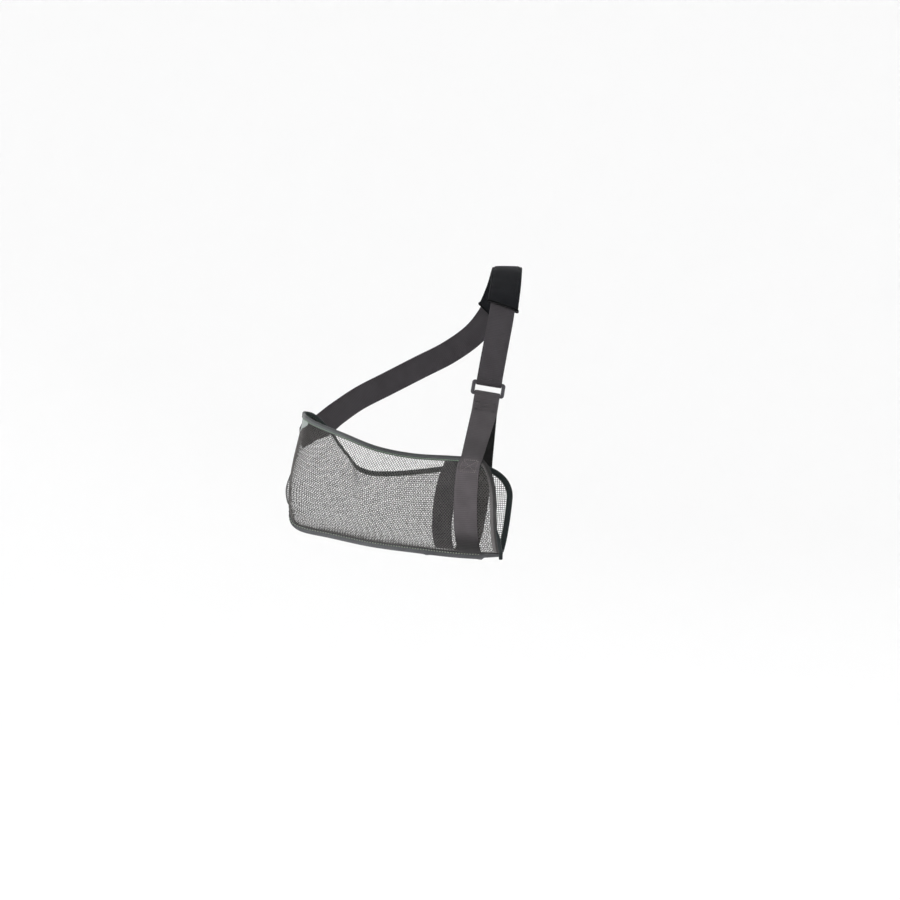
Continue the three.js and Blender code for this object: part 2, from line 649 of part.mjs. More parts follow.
function shoulderStrap() {
  const start = strapFrame(0);
  const flip = Math.sign(start.across.dot(BAR));
  const across = (frame) => frame.across.clone().multiplyScalar(flip);
  const tail = steps(3, TAIL_LENGTH - LOOP_LENGTH, 0).map((distance) => {
    const frame = strapFrame(distance);
    const centre = frame.centre.clone().addScaledVector(frame.face, -2 * PLY_OFFSET);
    return line(centre, across(frame), WEBBING_WIDTH);
  });
  const count = Math.round(SEWN_LENGTH / STRAP_STEP);
  const main = steps(count, 0, SEWN_LENGTH).slice(0, count).map((distance) => {
    const frame = strapFrame(distance);
    return line(frame.centre, across(frame), WEBBING_WIDTH);
  });
  const end = strapEnd();
  const sewnEnd = end.map((place, i) => {
    const next = end[Math.min(i + 1, END_STEPS)].centre;
    const last = end[Math.max(i - 1, 0)].centre;
    const tangent = next.clone().sub(last);
    return lineOn(place, tangent.cross(place.face).normalize().multiplyScalar(flip));
  });
  return wall([...tail, ...turn(1).reverse(), ...main, ...sewnEnd], even(WEBBING_THICKNESS));
}

// The pad: a padded sleeve round the strap, thick in the middle and thin at its ends
const PAD_SIDES = 14;
const PAD_ROWS = 16;
function shoulderPad() {
  const loop = (share, inner) => {
    const swell = Math.sqrt(Math.max(0, 1 - Math.abs(2 * share - 1) ** 6));
    const thick = PAD_EDGE_THICKNESS + (PAD_THICKNESS - PAD_EDGE_THICKNESS) * swell;
    const halfWidth = inner ? WEBBING_WIDTH / 2 + PAD_MARGIN : PAD_WIDTH / 2;
    const halfHeight = inner ? WEBBING_THICKNESS / 2 + PAD_MARGIN : thick / 2;
    const power = inner ? 0.2 : 0.45;
    return steps(PAD_SIDES, 0, 2 * Math.PI)
      .slice(0, PAD_SIDES)
      .map((angle) => {
        const cos = Math.cos(angle);
        const sin = Math.sin(angle);
        const k = Math.sign(cos) * Math.abs(cos) ** power;
        const h = Math.sign(sin) * Math.abs(sin) ** power;
        const slant = PAD_SLANT * k * (2 * share - 1);
        const frame = strapFrame(SEAT_LENGTH + (share - 0.5) * PAD_LENGTH + slant);
        return frame.centre
          .clone()
          .addScaledVector(frame.across, k * halfWidth)
          .addScaledVector(frame.face, h * halfHeight);
      });
  };
  const shares = steps(PAD_ROWS);
  const loops = [
    ...shares.map((share) => loop(share, false)),
    ...[...shares].reverse().map((share) => loop(share, true)),
  ];
  const positions = loops.flat().flatMap((p) => [p.x, p.y, p.z]);
  const index = [];
  loops.forEach((_, i) => {
    const next = (i + 1) % loops.length;
    for (let j = 0; j < PAD_SIDES; j++) {
      const right = (j + 1) % PAD_SIDES;
      const a = i * PAD_SIDES + j;
      const b = next * PAD_SIDES + j;
      const c = next * PAD_SIDES + right;
      const d = i * PAD_SIDES + right;
      index.push(a, c, d, a, b, c);
    }
  });
  return geometryOf(positions, index);
}

// The ring: a flat frame with rounded corners and bevelled edges
function roundedRectangle(path, width, height, radius) {
  const x = width / 2;
  const y = height / 2;
  path.moveTo(-x + radius, -y);
  path.lineTo(x - radius, -y);
  path.absarc(x - radius, -y + radius, radius, -Math.PI / 2, 0);
  path.lineTo(x, y - radius);
  path.absarc(x - radius, y - radius, radius, 0, Math.PI / 2);
  path.lineTo(-x + radius, y);
  path.absarc(-x + radius, y - radius, radius, Math.PI / 2, Math.PI);
  path.lineTo(-x, -y + radius);
  path.absarc(-x + radius, -y + radius, radius, Math.PI, 1.5 * Math.PI);
  return path;
}

function ringBuckle() {
  const b = RING_BEVEL;
  const shape = roundedRectangle(
    new THREE.Shape(),
    RING_WIDTH - 2 * b,
    RING_HEIGHT - 2 * b,
    RING_CORNER - b,
  );
  const slotWidth = RING_WIDTH - 2 * RING_POST;
  const slotHeight = RING_HEIGHT - 2 * RING_BAR;
  shape.holes.push(roundedRectangle(new THREE.Path(), slotWidth + 2 * b, slotHeight + 2 * b, b + 0.6));
  const geometry = new THREE.ExtrudeGeometry(shape, {
    depth: RING_THICKNESS - 2 * b,
    bevelThickness: b,
    bevelSize: b,
    bevelSegments: 2,
    curveSegments: 4,
  });
  geometry.translate(0, 0, b - RING_THICKNESS / 2);
  return geometry;
}

const finish = (color, roughness) => new THREE.MeshStandardMaterial({ color, roughness, metalness: 0 });
const sling = new THREE.Group();

function add(name, geometry, material, parent = sling) {
  const mesh = new THREE.Mesh(geometry, material);
  mesh.name = name;
  parent.add(mesh);
  return mesh;
}

const pouch = new THREE.Group();
sling.add(pouch);
add("front_panel", frontPanel(), finish(0x3a3b3b, 0.85), pouch);
add("back_panel", backPanel(), finish(0x2f3130, 0.85), pouch);
add("front_top_binding", frontTopBinding(), finish(0x464844, 0.8), pouch);
add("front_hand_binding", frontHandBinding(), finish(0x565a56, 0.8), pouch);
add("back_binding", backBinding(), finish(0x1d211f, 0.8), pouch);
add("bottom_binding", bottomBinding(), finish(0x646864, 0.85), pouch);
add("elbow_seam", elbowSeam(), finish(0x3c403d, 0.85), pouch);
add("inner_strap", innerStrap(), finish(0x38363a, 0.8), pouch);
add("split_webbing", splitWebbing(), finish(0x4a4345, 0.75));
add("shoulder_strap", shoulderStrap(), finish(0x4a4345, 0.75));
add("shoulder_pad", shoulderPad(), finish(0x1f2124, 0.9));

const ring = add("ring_buckle", ringBuckle(), finish(0x26242a, 0.4));
ring.applyMatrix4(new THREE.Matrix4().makeBasis(BAR, PULL, OUT).setPosition(RING_CENTRE));

export default sling;
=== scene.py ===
import math
import bpy
import numpy as np
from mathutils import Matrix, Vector


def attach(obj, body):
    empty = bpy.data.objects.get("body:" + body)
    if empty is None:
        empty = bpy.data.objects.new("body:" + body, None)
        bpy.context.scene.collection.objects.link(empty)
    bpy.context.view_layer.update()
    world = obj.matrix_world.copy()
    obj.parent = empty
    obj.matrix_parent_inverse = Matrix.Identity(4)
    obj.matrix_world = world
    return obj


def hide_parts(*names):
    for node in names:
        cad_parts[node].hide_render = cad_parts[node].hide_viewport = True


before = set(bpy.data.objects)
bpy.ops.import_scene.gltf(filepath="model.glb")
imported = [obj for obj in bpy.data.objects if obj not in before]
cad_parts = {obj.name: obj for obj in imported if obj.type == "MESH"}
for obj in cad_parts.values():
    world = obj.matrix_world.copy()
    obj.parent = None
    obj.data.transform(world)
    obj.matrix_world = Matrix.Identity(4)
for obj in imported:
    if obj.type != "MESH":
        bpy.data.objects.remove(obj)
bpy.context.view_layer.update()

# Arm sling, dressed. All sizes are in millimetres and turned into metres as each mesh is made.
METRE = 0.001

# Pouch, as in the solid model
POUCH_LENGTH = 360
POUCH_WIDTH = 90
POUCH_DEPTH = 165
POUCH_YAW = 26.5
POUCH_PITCH = 7.5
CORNER = np.array([-338.0, -28.0, -392.0])
MESH_THICKNESS = 1.2
BELLY_LEVEL = 0.35
SWELL_START = 0.12
SWELL_SIDE = 0.06
TOP_TAPE_WIDTH = 8.5
HAND_TAPE_WIDTH = 10
TAPE_THICKNESS = 3
SEAM_TAPE_WIDTH = 8.5
SEAM_TAPE_THICKNESS = 3.8
ELBOW_TAPE_WIDTH = 2.6
ELBOW_TAPE_THICKNESS = 2.8
WEBBING_WIDTH = 38
WEBBING_THICKNESS = 1.6
INNER_WIDTH = 30
CLEARANCE = 0.35

# Ring buckle
RING_WIDTH = 50
RING_HEIGHT = 23
RING_THICKNESS = 3.2
RING_BAR = 5
RING_POST = 5.6
RING_CORNER = 4.5
RING_SIDE = 32.8
RING_FORWARD = 150
RING_DROP = 187
RING_ROLL = 9.6
RING_LEAN = 17
TAIL_LENGTH = 44
STITCHED_LENGTH = 14
LOOP_LENGTH = 13

# Shoulder strap and pad
BACK_REACH = 128
PAD_LENGTH = 238
PAD_WIDTH = 47.5
PAD_THICKNESS = 11
PAD_EDGE_THICKNESS = 6.4
PAD_SLANT = 8.7

# along, aside, up
SEAM_ROWS = [
    (-0.008, 0.0, 0.12),
    (0.018, 0.0, 0.03),
    (0.07, 0.0, 0.001),
    (0.2, 0.03, -0.012),
    (0.4, 0.04, -0.027),
    (0.63, 0.03, -0.008),
    (0.8, 0.02, 0.013),
    (1.012, 0.0, 0.062),
]
# seam, along, aside, up, bulge along, bulge aside
FRONT_ROWS = [
    (0.0, 0.003, 0.047, 1.049, -0.02, 0.0),
    (0.06, 0.046, -0.15, 1.037, -0.015, -0.17),
    (0.13, 0.11, -0.27, 1.002, 0.0, -0.28),
    (0.26, 0.25, -0.28, 0.936, 0.0, -0.34),
    (0.42, 0.41, -0.24, 0.858, 0.0, -0.36),
    (0.58, 0.58, -0.25, 0.84, 0.0, -0.34),
    (0.76, 0.76, -0.315, 0.87, 0.0, -0.27),
    (0.9, 0.89, -0.335, 0.894, 0.0, -0.2),
    (1.0, 0.985, -0.34, 0.914, 0.0, -0.14),
]
BACK_ROWS = [
    (0.0, 0.003, 0.047, 1.049, -0.02, 0.0),
    (0.025, -0.026, 0.2, 1.057, -0.026, 0.13),
    (0.06, -0.042, 0.385, 1.06, -0.02, 0.24),
    (0.1, -0.024, 0.55, 1.045, -0.012, 0.3),
    (0.15, 0.035, 0.635, 0.951, -0.01, 0.33),
    (0.2, 0.111, 0.63, 0.799, 0.0, 0.34),
    (0.26, 0.19, 0.6, 0.65, 0.0, 0.34),
    (0.33, 0.27, 0.58, 0.592, 0.0, 0.33),
    (0.43, 0.38, 0.57, 0.61, 0.0, 0.32),
    (0.56, 0.52, 0.552, 0.672, 0.0, 0.28),
    (0.71, 0.68, 0.5, 0.755, 0.0, 0.22),
    (0.86, 0.82, 0.455, 0.81, 0.0, 0.17),
    (1.0, 0.97, 0.47, 0.86, 0.0, 0.12),
]
# station, level, wide, tall, along, aside
FRONT_FOLDS = [
    (0.34, 0.62, 0.05, 0.4, 0.0, -0.022),
    (0.62, 0.72, 0.06, 0.3, 0.0, 0.02),
]
BACK_FOLDS = [
    (0.1, 0.23, 0.065, 0.2, -0.042, 0.0),
    (0.47, 0.8, 0.028, 0.38, 0.0, 0.06),
    (0.54, 0.75, 0.03, 0.4, 0.0, -0.055),
    (0.72, 0.6, 0.06, 0.4, 0.0, 0.03),
]
FRONT_CORNER = (0.87, 0.46)
BACK_CORNER = (0.893, 0.4)
# bottom, top, edge
FRONT_WEBBING = (0.883, 0.862, 0.876)
BACK_WEBBING = (0.835, 0.812, 0.812)
# bottom, middle, top
INNER_STRAP = (0.765, 0.774, 0.795)
# from station, from level, to station, to level
STRAP_END = (0.275, 0.9, 0.115, 0.75)
# side, forward, drop, face
CHEST_ROWS = [
    (0.8, 0.94, 0.8, (0, -0.96, 0.28)),
    (0.58, 0.86, 0.6, (0, -0.93, 0.37)),
    (0.385, 0.733, 0.428, (0, -0.83, 0.55)),
    (0.24, 0.573, 0.267, (0, -0.7, 0.71)),
    (0.12, 0.387, 0.128, (0, -0.52, 0.85)),
    (0.04, 0.187, 0.012, (0.03, -0.27, 0.96)),
]
# side, back, drop, face
SPINE_ROWS = [
    (0.005, 0.234, 0.0, (0.05, 0.28, 0.96)),
    (0.027, 0.469, 0.09, (0.1, 0.6, 0.79)),
    (0.078, 0.69, 0.226, (0.12, 0.85, 0.5)),
    (0.165, 0.875, 0.362, (0.1, 0.97, 0.22)),
    (0.304, 0.99, 0.484, (0, 1, 0.1)),
    (0.473, 1.0, 0.59, (-0.1, 0.99, 0)),
    (0.642, 0.87, 0.7, (-0.34, 0.94, 0)),
    (0.797, 0.6, 0.806, (-0.5, 0.86, 0.03)),
    (0.912, 0.315, 0.912, (-0.36, 0.93, 0.06)),
]

# Net of the panels: spacing of its holes and of their rows, the open share of a cell and how much narrower
# its hole is than tall, and the yarn's thickness
HOLE_PITCH = 4.3
HOLE_ROW = 2.35
HOLE_OPEN = 0.765
HOLE_NARROW = 0.97
YARN_THICKNESS = 0.75
NET_UNDER_TAPE = 4.0

# Webbing weave
RIB_PITCH = 2.9
RIB_HEIGHT = 0.1

# How far the underside of a strap lies from its top on the cloth's own map, and the painted shade that
# darkens its top side on that map, the side that lies in shadow
UNDERSIDE = 60.0
TOP_SIDE_PAINTED_SHADE = [(22, 0.08), (38, 1.0)]

# Grid steps: heights on a panel's flat map, rows of a strap before and after its kinks are rounded
HEIGHT_STEP = 0.5
LEVEL_STEPS = 400
KINK_STEP = 0.8
STRAP_STEP = 0.5
# Lowest level at which a panel's normal is read, and how far past its start a hand tape begins
LOWEST_NORMAL = 0.006
CORNER_GAP = 0.001

yaw = math.radians(POUCH_YAW)
pitch = math.radians(POUCH_PITCH)
ALONG = np.array([math.cos(pitch) * math.cos(yaw), -math.cos(pitch) * math.sin(yaw), -math.sin(pitch)])
ASIDE = np.array([math.sin(yaw), math.cos(yaw), 0.0])
UP = np.array([math.sin(pitch) * math.cos(yaw), -math.sin(pitch) * math.sin(yaw), math.cos(pitch)])
rng = np.random.default_rng(11)


def unit(v):
    return v / np.maximum(np.linalg.norm(v, axis=-1, keepdims=True), 1e-12)


def smoothstep(x, low, high):
    k = np.clip((np.asarray(x, float) - low) / (high - low), 0, 1)
    return k * k * (3 - 2 * k)


def pouch_vector(along, aside, up):
    along, aside, up = (np.asarray(v, float)[..., None] for v in (along, aside, up))
    return along * POUCH_LENGTH * ALONG + aside * POUCH_WIDTH * ASIDE + up * POUCH_DEPTH * UP


def run_along(points):
    """Length run through along a line of points, from nought at the first."""
    return np.concatenate([[0], np.cumsum(np.linalg.norm(np.diff(points, axis=0), axis=1))])


def read_between(wanted, known, values):
    """Each column of values, read at wanted places between the known ones."""
    return np.stack([np.interp(wanted, known, column) for column in values.T], axis=1)


def read_grid(table, rows, columns):
    """A table read between its rows and columns."""
    i = np.clip(rows.astype(int), 0, len(table) - 2)
    j = np.clip(columns.astype(int), 0, table.shape[1] - 2)
    wi, wj = rows - i, columns - j
    if table.ndim > 2:
        wi, wj = wi[..., None], wj[..., None]
    low = table[i, j] * (1 - wj) + table[i, j + 1] * wj
    high = table[i + 1, j] * (1 - wj) + table[i + 1, j + 1] * wj
    return low * (1 - wi) + high * wi


def rounded(angles, power_x, power_y):
    """Places round a rounded box that reaches from -1 to 1 both ways."""
    cos, sin = np.cos(angles), np.sin(angles)
    return np.sign(cos) * np.abs(cos) ** power_x, np.sign(sin) * np.abs(sin) ** power_y


class Curve:
    """A centripetal Catmull-Rom curve, the same as the solid model's."""

    def __init__(self, points, divisions=200):
        self.points = np.asarray(points, float)
        self.steps = np.linspace(0, 1, divisions + 1)
        self.run = run_along(self.inside(self.steps))
        self.length = self.run[-1]

    def inside(self, t):
        t = np.asarray(t, float)
        p, last = self.points, len(self.points) - 1
        place = last * t
        i = np.clip(np.floor(place).astype(int), 0, last - 1)
        w = (place - i)[..., None]
        x1, x2 = p[i], p[i + 1]
        x0 = np.where((i > 0)[..., None], p[np.maximum(i - 1, 0)], 2 * p[0] - p[1])
        x3 = np.where((i + 2 <= last)[..., None], p[np.minimum(i + 2, last)], 2 * p[last] - p[last - 1])
        d0, d1, d2 = (
            np.sqrt(np.linalg.norm(b - a, axis=-1, keepdims=True)) for a, b in ((x0, x1), (x1, x2), (x2, x3))
        )
        d1 = np.where(d1 < 1e-4, 1.0, d1)
        d0 = np.where(d0 < 1e-4, d1, d0)
        d2 = np.where(d2 < 1e-4, d1, d2)
        t1 = ((x1 - x0) / d0 - (x2 - x0) / (d0 + d1) + (x2 - x1) / d1) * d1
        t2 = ((x2 - x1) / d1 - (x3 - x1) / (d1 + d2) + (x3 - x2) / d2) * d1
        return x1 + t1 * w + (-3 * x1 + 3 * x2 - 2 * t1 - t2) * w**2 + (2 * x1 - 2 * x2 + t1 + t2) * w**3

    def tangent(self, t):
        t = np.asarray(t, float)
        return unit(self.inside(np.clip(t + 1e-4, 0, 1)) - self.inside(np.clip(t - 1e-4, 0, 1)))

    def at(self, t):
        t = np.asarray(t, float)
        held = np.clip(t, 0, 1)
        return self.inside(held) + self.tangent(held) * ((t - held) * self.length)[..., None]

    def at_share(self, share):
        return self.inside(np.interp(np.asarray(share, float) * self.length, self.run, self.steps))


seam_curve = Curve([pouch_vector(*row) + CORNER for row in SEAM_ROWS])
SEAM_SPLIT = (MESH_THICKNESS + CLEARANCE) / 2


def belly(level):
    round_part = np.sqrt(np.maximum(0, 1 - (1 - level / BELLY_LEVEL) ** 2))
    slack_part = 1 - ((level - BELLY_LEVEL) / (1 - BELLY_LEVEL)) ** 2
    return np.where(level < BELLY_LEVEL, round_part, slack_part)


class Panel:
    """One cloth wall of the pouch: station runs from elbow to hand and level from seam to top edge."""

    def __init__(self, rows, folds, outward, corner):
        self.folds, self.outward, self.corner = folds, outward, corner
        self.starts = Curve([seam_curve.at_share(row[0]) for row in rows])
        self.tops = Curve([pouch_vector(*row[1:4]) + CORNER for row in rows])
        self.bulges = Curve([pouch_vector(row[4], row[5], 0) for row in rows])
        self.lay_flat()

    def at(self, station, level):
        station, level = np.broadcast_arrays(np.asarray(station, float), np.asarray(level, float))
        start = self.starts.at(station) + ASIDE * self.outward * SEAM_SPLIT
        point = start + (self.tops.at(station) - start) * level[..., None]
        bulge = self.bulges.inside(np.clip(station, 0, 1))
        swell = belly(level)
        point = point + ASIDE * (bulge @ ASIDE * swell)[..., None]
        point = point + ALONG * (bulge @ ALONG * swell**2)[..., None]
        fade = np.minimum(1, level / SWELL_START) * smoothstep(station, 0, SWELL_SIDE)
        for at_station, at_level, wide, tall, along, aside in self.folds:
            away = ((station - at_station) / wide) ** 2 + ((level - at_level) / tall) ** 2
            fold = (np.exp(-away) * fade)[..., None]
            point = point + fold * (ALONG * along * POUCH_LENGTH + ASIDE * aside * POUCH_WIDTH)
        return point

    def slopes(self, station, level, step):
        """Steps between two points either side of a place, along the cloth and up it."""
        across = self.at(station + step, level) - self.at(station - step, level)
        return across, self.at(station, level + step) - self.at(station, level - step)

    def normal(self, station, level):
        return -self.outward * unit(np.cross(*self.slopes(station, level, 0.004)))

    def reach(self, station, level, step=0.01):
        """Millimetres of cloth for one whole station and one whole level."""
        return [np.linalg.norm(slope, axis=-1) / (2 * step) for slope in self.slopes(station, level, step)]

    def lay_flat(self):
        """Tables between places on the cloth in millimetres and stations and levels."""
        self.stations = np.linspace(0, 1, 241)
        levels = np.linspace(0, 1, 181) ** 2
        grid = self.at(self.stations[:, None], levels[None, :])
        run = np.array([run_along(row) for row in grid])
        # The run along the cloth is taken a little below half way up it
        self.across_run = run_along(grid[:, 120])
        self.heights = np.arange(0, run[:, -1].max() + 2, HEIGHT_STEP)
        self.level_table = np.array([np.interp(self.heights, row, levels) for row in run])
        even = np.linspace(0, 1, LEVEL_STEPS + 1)
        self.height_table = np.array([np.interp(even, levels, row) for row in run])
        self.width = self.across_run[-1]

    def lookup(self, table, station, column):
        rows = np.clip(station, 0, 1) * (len(self.stations) - 1)
        return read_grid(table, rows, np.clip(column, 0, table.shape[1] - 1.001))

    def level_at(self, station, height):
        return self.lookup(self.level_table, station, np.asarray(height) / HEIGHT_STEP)

    def from_flat(self, u, v):
        station = np.interp(u, self.across_run, self.stations)
        return station, self.level_at(station, v)

    def to_flat(self, station, level):
        u = np.interp(station, self.stations, self.across_run)
        return u, self.lookup(self.height_table, station, level * LEVEL_STEPS)

    def outline(self, top_inset, hand_inset):
        """Lines of stations and levels along the top edge, round the corner and down the hand end."""
        start, drop = self.corner[0], 1 - self.corner[1]

        def roof(station):
            return 1 - top_inset / self.reach(station, 0.95)[1]

        hand = 1 - hand_inset / self.reach(0.97, 0.5)[0]
        tops = np.linspace(0, start, 91)
        angles = np.linspace(0, math.pi / 2, 25)[1:]
        downs = np.linspace(drop, 0, 41)[1:]
        arc = start + (hand - start) * np.sin(angles), drop + (roof(start) - drop) * np.cos(angles)
        end = np.full(len(downs), hand), downs
        return [np.stack(pair, axis=1) for pair in ((tops, roof(tops)), arc, end)]

    def station_along(self, level, share):
        level, share = np.broadcast_arrays(np.asarray(level, float), np.asarray(share, float))
        low, high = np.full(level.shape, 0.2), np.ones(level.shape)
        for _ in range(32):
            middle = (low + high) / 2
            short = (self.at(middle, level) - CORNER) @ ALONG / POUCH_LENGTH < share
            low, high = np.where(short, middle, low), np.where(short, high, middle)
        return (low + high) / 2


front = Panel(FRONT_ROWS, FRONT_FOLDS, -1, FRONT_CORNER)
back = Panel(BACK_ROWS, BACK_FOLDS, 1, BACK_CORNER)


# ---- materials


def new_material(name, colour, roughness, sheen=0.0, specular=0.3):
    material = bpy.data.materials.new(name)
    material.use_nodes = True
    tree = material.node_tree
    shader = tree.nodes["Principled BSDF"]
    keys = "Base Color", "Roughness", "Specular IOR Level", "Sheen Weight", "Sheen Roughness"
    for key, value in zip(keys, ((*colour, 1), roughness, specular, sheen, 0.45)):
        shader.inputs[key].default_value = value
    return material, tree, shader


def node(tree, kind, **values):
    """A node with each value set. A value that is another node's socket is linked."""
    made = tree.nodes.new(kind)
    for key, value in values.items():
        if isinstance(value, bpy.types.NodeSocket):
            tree.links.new(value, made.inputs[key])
        elif key in made.inputs:
            made.inputs[key].default_value = value
        else:
            setattr(made, key, value)
    return made


def colours(tree, factor, shader, dark, light, shades=()):
    """Colours the shader between two tones by a factor, darkened by a table of shades along an axis."""
    mix = node(tree, "ShaderNodeMix", data_type="RGBA")
    tree.links.new(factor, mix.inputs[0])
    mix.inputs[6].default_value = (*dark, 1)
    mix.inputs[7].default_value = (*light, 1)
    tone = mix.outputs[2]
    for axis, stops in shades:
        product = node(tree, "ShaderNodeMix", data_type="RGBA", blend_type="MULTIPLY")
        product.inputs[0].default_value = 1.0
        tree.links.new(tone, product.inputs[6])
        tree.links.new(shade_along(tree, axis, stops), product.inputs[7])
        tone = product.outputs[2]
    tree.links.new(tone, shader.inputs["Base Color"])


def shade_along(tree, axis, stops):
    """A grey shade from a short table of places on the cloth in millimetres, with the shade at each."""
    uv = node(tree, "ShaderNodeUVMap", uv_map="cloth")
    parts = node(tree, "ShaderNodeSeparateXYZ", Vector=uv.outputs["UV"])
    low, high = stops[0][0], stops[-1][0]
    ends = {"From Min": low, "From Max": high}
    share = node(tree, "ShaderNodeMapRange", Value=parts.outputs[axis], **ends)
    ramp = node(tree, "ShaderNodeValToRGB", Fac=share.outputs[0])
    elements = ramp.color_ramp.elements
    elements[0].color = (stops[0][1],) * 3 + (1,)
    elements[1].color = (stops[-1][1],) * 3 + (1,)
    for place, tone in stops[1:-1]:
        elements.new((place - low) / (high - low)).color = (tone,) * 3 + (1,)
    return ramp.outputs[0]


def bump(tree, height, shader, strength, distance):
    made = node(tree, "ShaderNodeBump", Strength=strength, Distance=distance, Height=height)
    tree.links.new(made.outputs["Normal"], shader.inputs["Normal"])


def cloth_uv(tree, scale):
    uv = node(tree, "ShaderNodeUVMap", uv_map="cloth")
    return node(tree, "ShaderNodeMapping", Scale=scale, Vector=uv.outputs["UV"]).outputs["Vector"]


def noise(tree, vector, scale, detail=3.0):
    if vector is None:
        vector = node(tree, "ShaderNodeTexCoord").outputs["Object"]
    return node(tree, "ShaderNodeTexNoise", Scale=scale, Detail=detail, Vector=vector).outputs["Fac"]


def maths(tree, operation, a, b=None):
    made = node(tree, "ShaderNodeMath", operation=operation)
    for socket, value in zip(made.inputs, (a, b)):
        if value is None:
            continue
        if isinstance(value, (int, float)):
            socket.default_value = value
        else:
            tree.links.new(value, socket)
    return made.outputs[0]


def weighted(tree, terms, less=0):
    """The sum of factors, each times its weight, less a number."""
    total = None
    for factor, weight in terms:
        part = factor if weight == 1 else maths(tree, "MULTIPLY", factor, weight)
        total = part if total is None else maths(tree, "ADD", total, part)
    return maths(tree, "SUBTRACT", total, less) if less else total


def yarn_material(name, dark, light):
    material, tree, shader = new_material(name, dark, 0.7, sheen=0.25)
    mottled = weighted(tree, [(noise(tree, None, 26.0), 1), (noise(tree, None, 900.0), 0.5)], 0.3)
    colours(tree, mottled, shader, dark, light)
    bump(tree, noise(tree, None, 2600.0), shader, 0.4, 0.0002)
    return material


def stripes(tree, uv, direction, pitch, distortion):
    """Soft stripes across a direction of the cloth at a pitch in millimetres."""
    size = {"Scale": math.pi / 10 / pitch, "Distortion": distortion}
    return node(tree, "ShaderNodeTexWave", bands_direction=direction, Vector=uv, **size).outputs["Fac"]


def webbing_material(name, dark, light, shades=()):
    """Woven strap: ribs across it, fine ends along it, and a mottled dye."""
    material, tree, shader = new_material(name, dark, 0.6, sheen=0.1, specular=0.3)
    uv = cloth_uv(tree, (1, 1, 1))
    ribs = stripes(tree, uv, "X", RIB_PITCH, 0.4)
    ends = stripes(tree, uv, "Y", 1.3, 1.2)
    dye = noise(tree, uv, 0.045, 4.0)
    speck = noise(tree, uv, 0.9, 2.0)
    tone = weighted(tree, [(dye, 0.7), (speck, 0.3), (ends, 0.12), (ribs, 0.18)], 0.14)
    colours(tree, tone, shader, dark, light, shades)
    bump(tree, weighted(tree, [(ends, 0.5), (speck, 1)]), shader, 0.35, 0.0003)
    return material


def tape_material(name, dark, light, grain=0.35, shades=()):
    """Knitted binding tape: fuzzy, with short lengthwise ribs."""
    material, tree, shader = new_material(name, dark, 0.85, sheen=0.25, specular=0.2)
    uv = cloth_uv(tree, (0.6, 1.6, 1))
    fuzz = noise(tree, uv, 0.8, 4.0)
    patches = noise(tree, uv, 0.06, 2.0)
    knit = stripes(tree, uv, "Y", 2.2, 1.5)
    tone = weighted(tree, [(fuzz, 0.8), (patches, 0.4), (knit, 0.2)], 0.2)
    colours(tree, tone, shader, dark, light, shades)
    bump(tree, fuzz, shader, grain, 0.0006)
    return material


def thread_material(name, colour):
    material, tree, shader = new_material(name, colour, 0.55, sheen=0.2)
    twist = node(tree, "ShaderNodeTexNoise", Scale=900.0)
    dark = tuple(c * 0.6 for c in colour)
    colours(tree, twist.outputs["Fac"], shader, dark, colour)
    return material


def plastic_material(name, dark, light):
    material, tree, shader = new_material(name, dark, 0.36, specular=0.5)
    grain = noise(tree, None, 1500.0, 2.0)
    colours(tree, noise(tree, None, 60.0), shader, dark, light)
    spread = maths(tree, "ADD", maths(tree, "MULTIPLY", grain, 0.16), 0.28)
    tree.links.new(spread, shader.inputs["Roughness"])
    bump(tree, grain, shader, 0.12, 0.0001)
    return material


def pad_material(name, dark, light):
    """Brushed cover cloth with a fine grid of loops."""
    material, tree, shader = new_material(name, dark, 0.9, sheen=0.04, specular=0.12)
    uv = cloth_uv(tree, (1, 1, 1))
    loops = node(tree, "ShaderNodeTexVoronoi", Scale=1.25, Vector=uv).outputs["Distance"]
    tone = weighted(tree, [(loops, 0.4), (noise(tree, uv, 0.05, 3.0), 1)], 0.3)
    colours(tree, tone, shader, dark, light)
    bump(tree, loops, shader, 0.5, 0.0004)
    return material


NET = yarn_material("net_yarn", (0.042, 0.039, 0.0375), (0.128, 0.12, 0.114))
NET_BACK = yarn_material("net_yarn_back", (0.022, 0.022, 0.022), (0.06, 0.06, 0.058))

# The top tape is lighter at the elbow. The lower tape's wings over the cloth are dark.
TOP_SHADE = [(0, 1.0), (40, 0.92), (95, 0.8), (160, 0.42), (230, 0.42), (310, 0.5)]
LOW_SHADE = [(0, 0.45), (35, 0.8), (70, 1.0), (190, 0.95), (270, 0.68), (390, 0.62)]
WING_SHADE = [(-3, 0.3), (0, 1.0)]
# Both edge tapes are darker along their outer half, and the hand end's also round its corner. On the hand
# tape the dark outer half is painted shade where the tape curls over.
TOP_EDGE_SHADE = [(0, 0.5), (2.5, 0.62), (4.5, 1.0), (8.5, 1.0)]
HAND_SHADE = [(0, 0.5), (35, 0.5), (65, 0.85), (90, 1.0), (190, 1.0)]
HAND_EDGE_PAINTED_SHADE = [(0, 0.32), (4.4, 0.36), (5.8, 1.0), (10, 1.0)]
TOP_TAPE = tape_material(
    "top_tape", (0.08, 0.083, 0.086), (0.18, 0.19, 0.195), shades=[(0, TOP_SHADE), (1, TOP_EDGE_SHADE)]
)
BACK_TAPE = tape_material("back_tape", (0.007, 0.01, 0.01), (0.026, 0.034, 0.034))
ELBOW_TAPE = tape_material("elbow_tape", (0.03, 0.031, 0.032), (0.085, 0.088, 0.09))
LIGHT_TAPE = tape_material(
    "light_tape", (0.06, 0.063, 0.067), (0.19, 0.195, 0.205), 0.6, [(0, LOW_SHADE), (1, WING_SHADE)]
)
# The hand tape's dark outer half is painted shade.
HAND_TAPE = tape_material(
    "hand_tape", (0.057, 0.055, 0.055), (0.178, 0.17, 0.17), 0.5, [(0, HAND_SHADE), (1, HAND_EDGE_PAINTED_SHADE)]
)
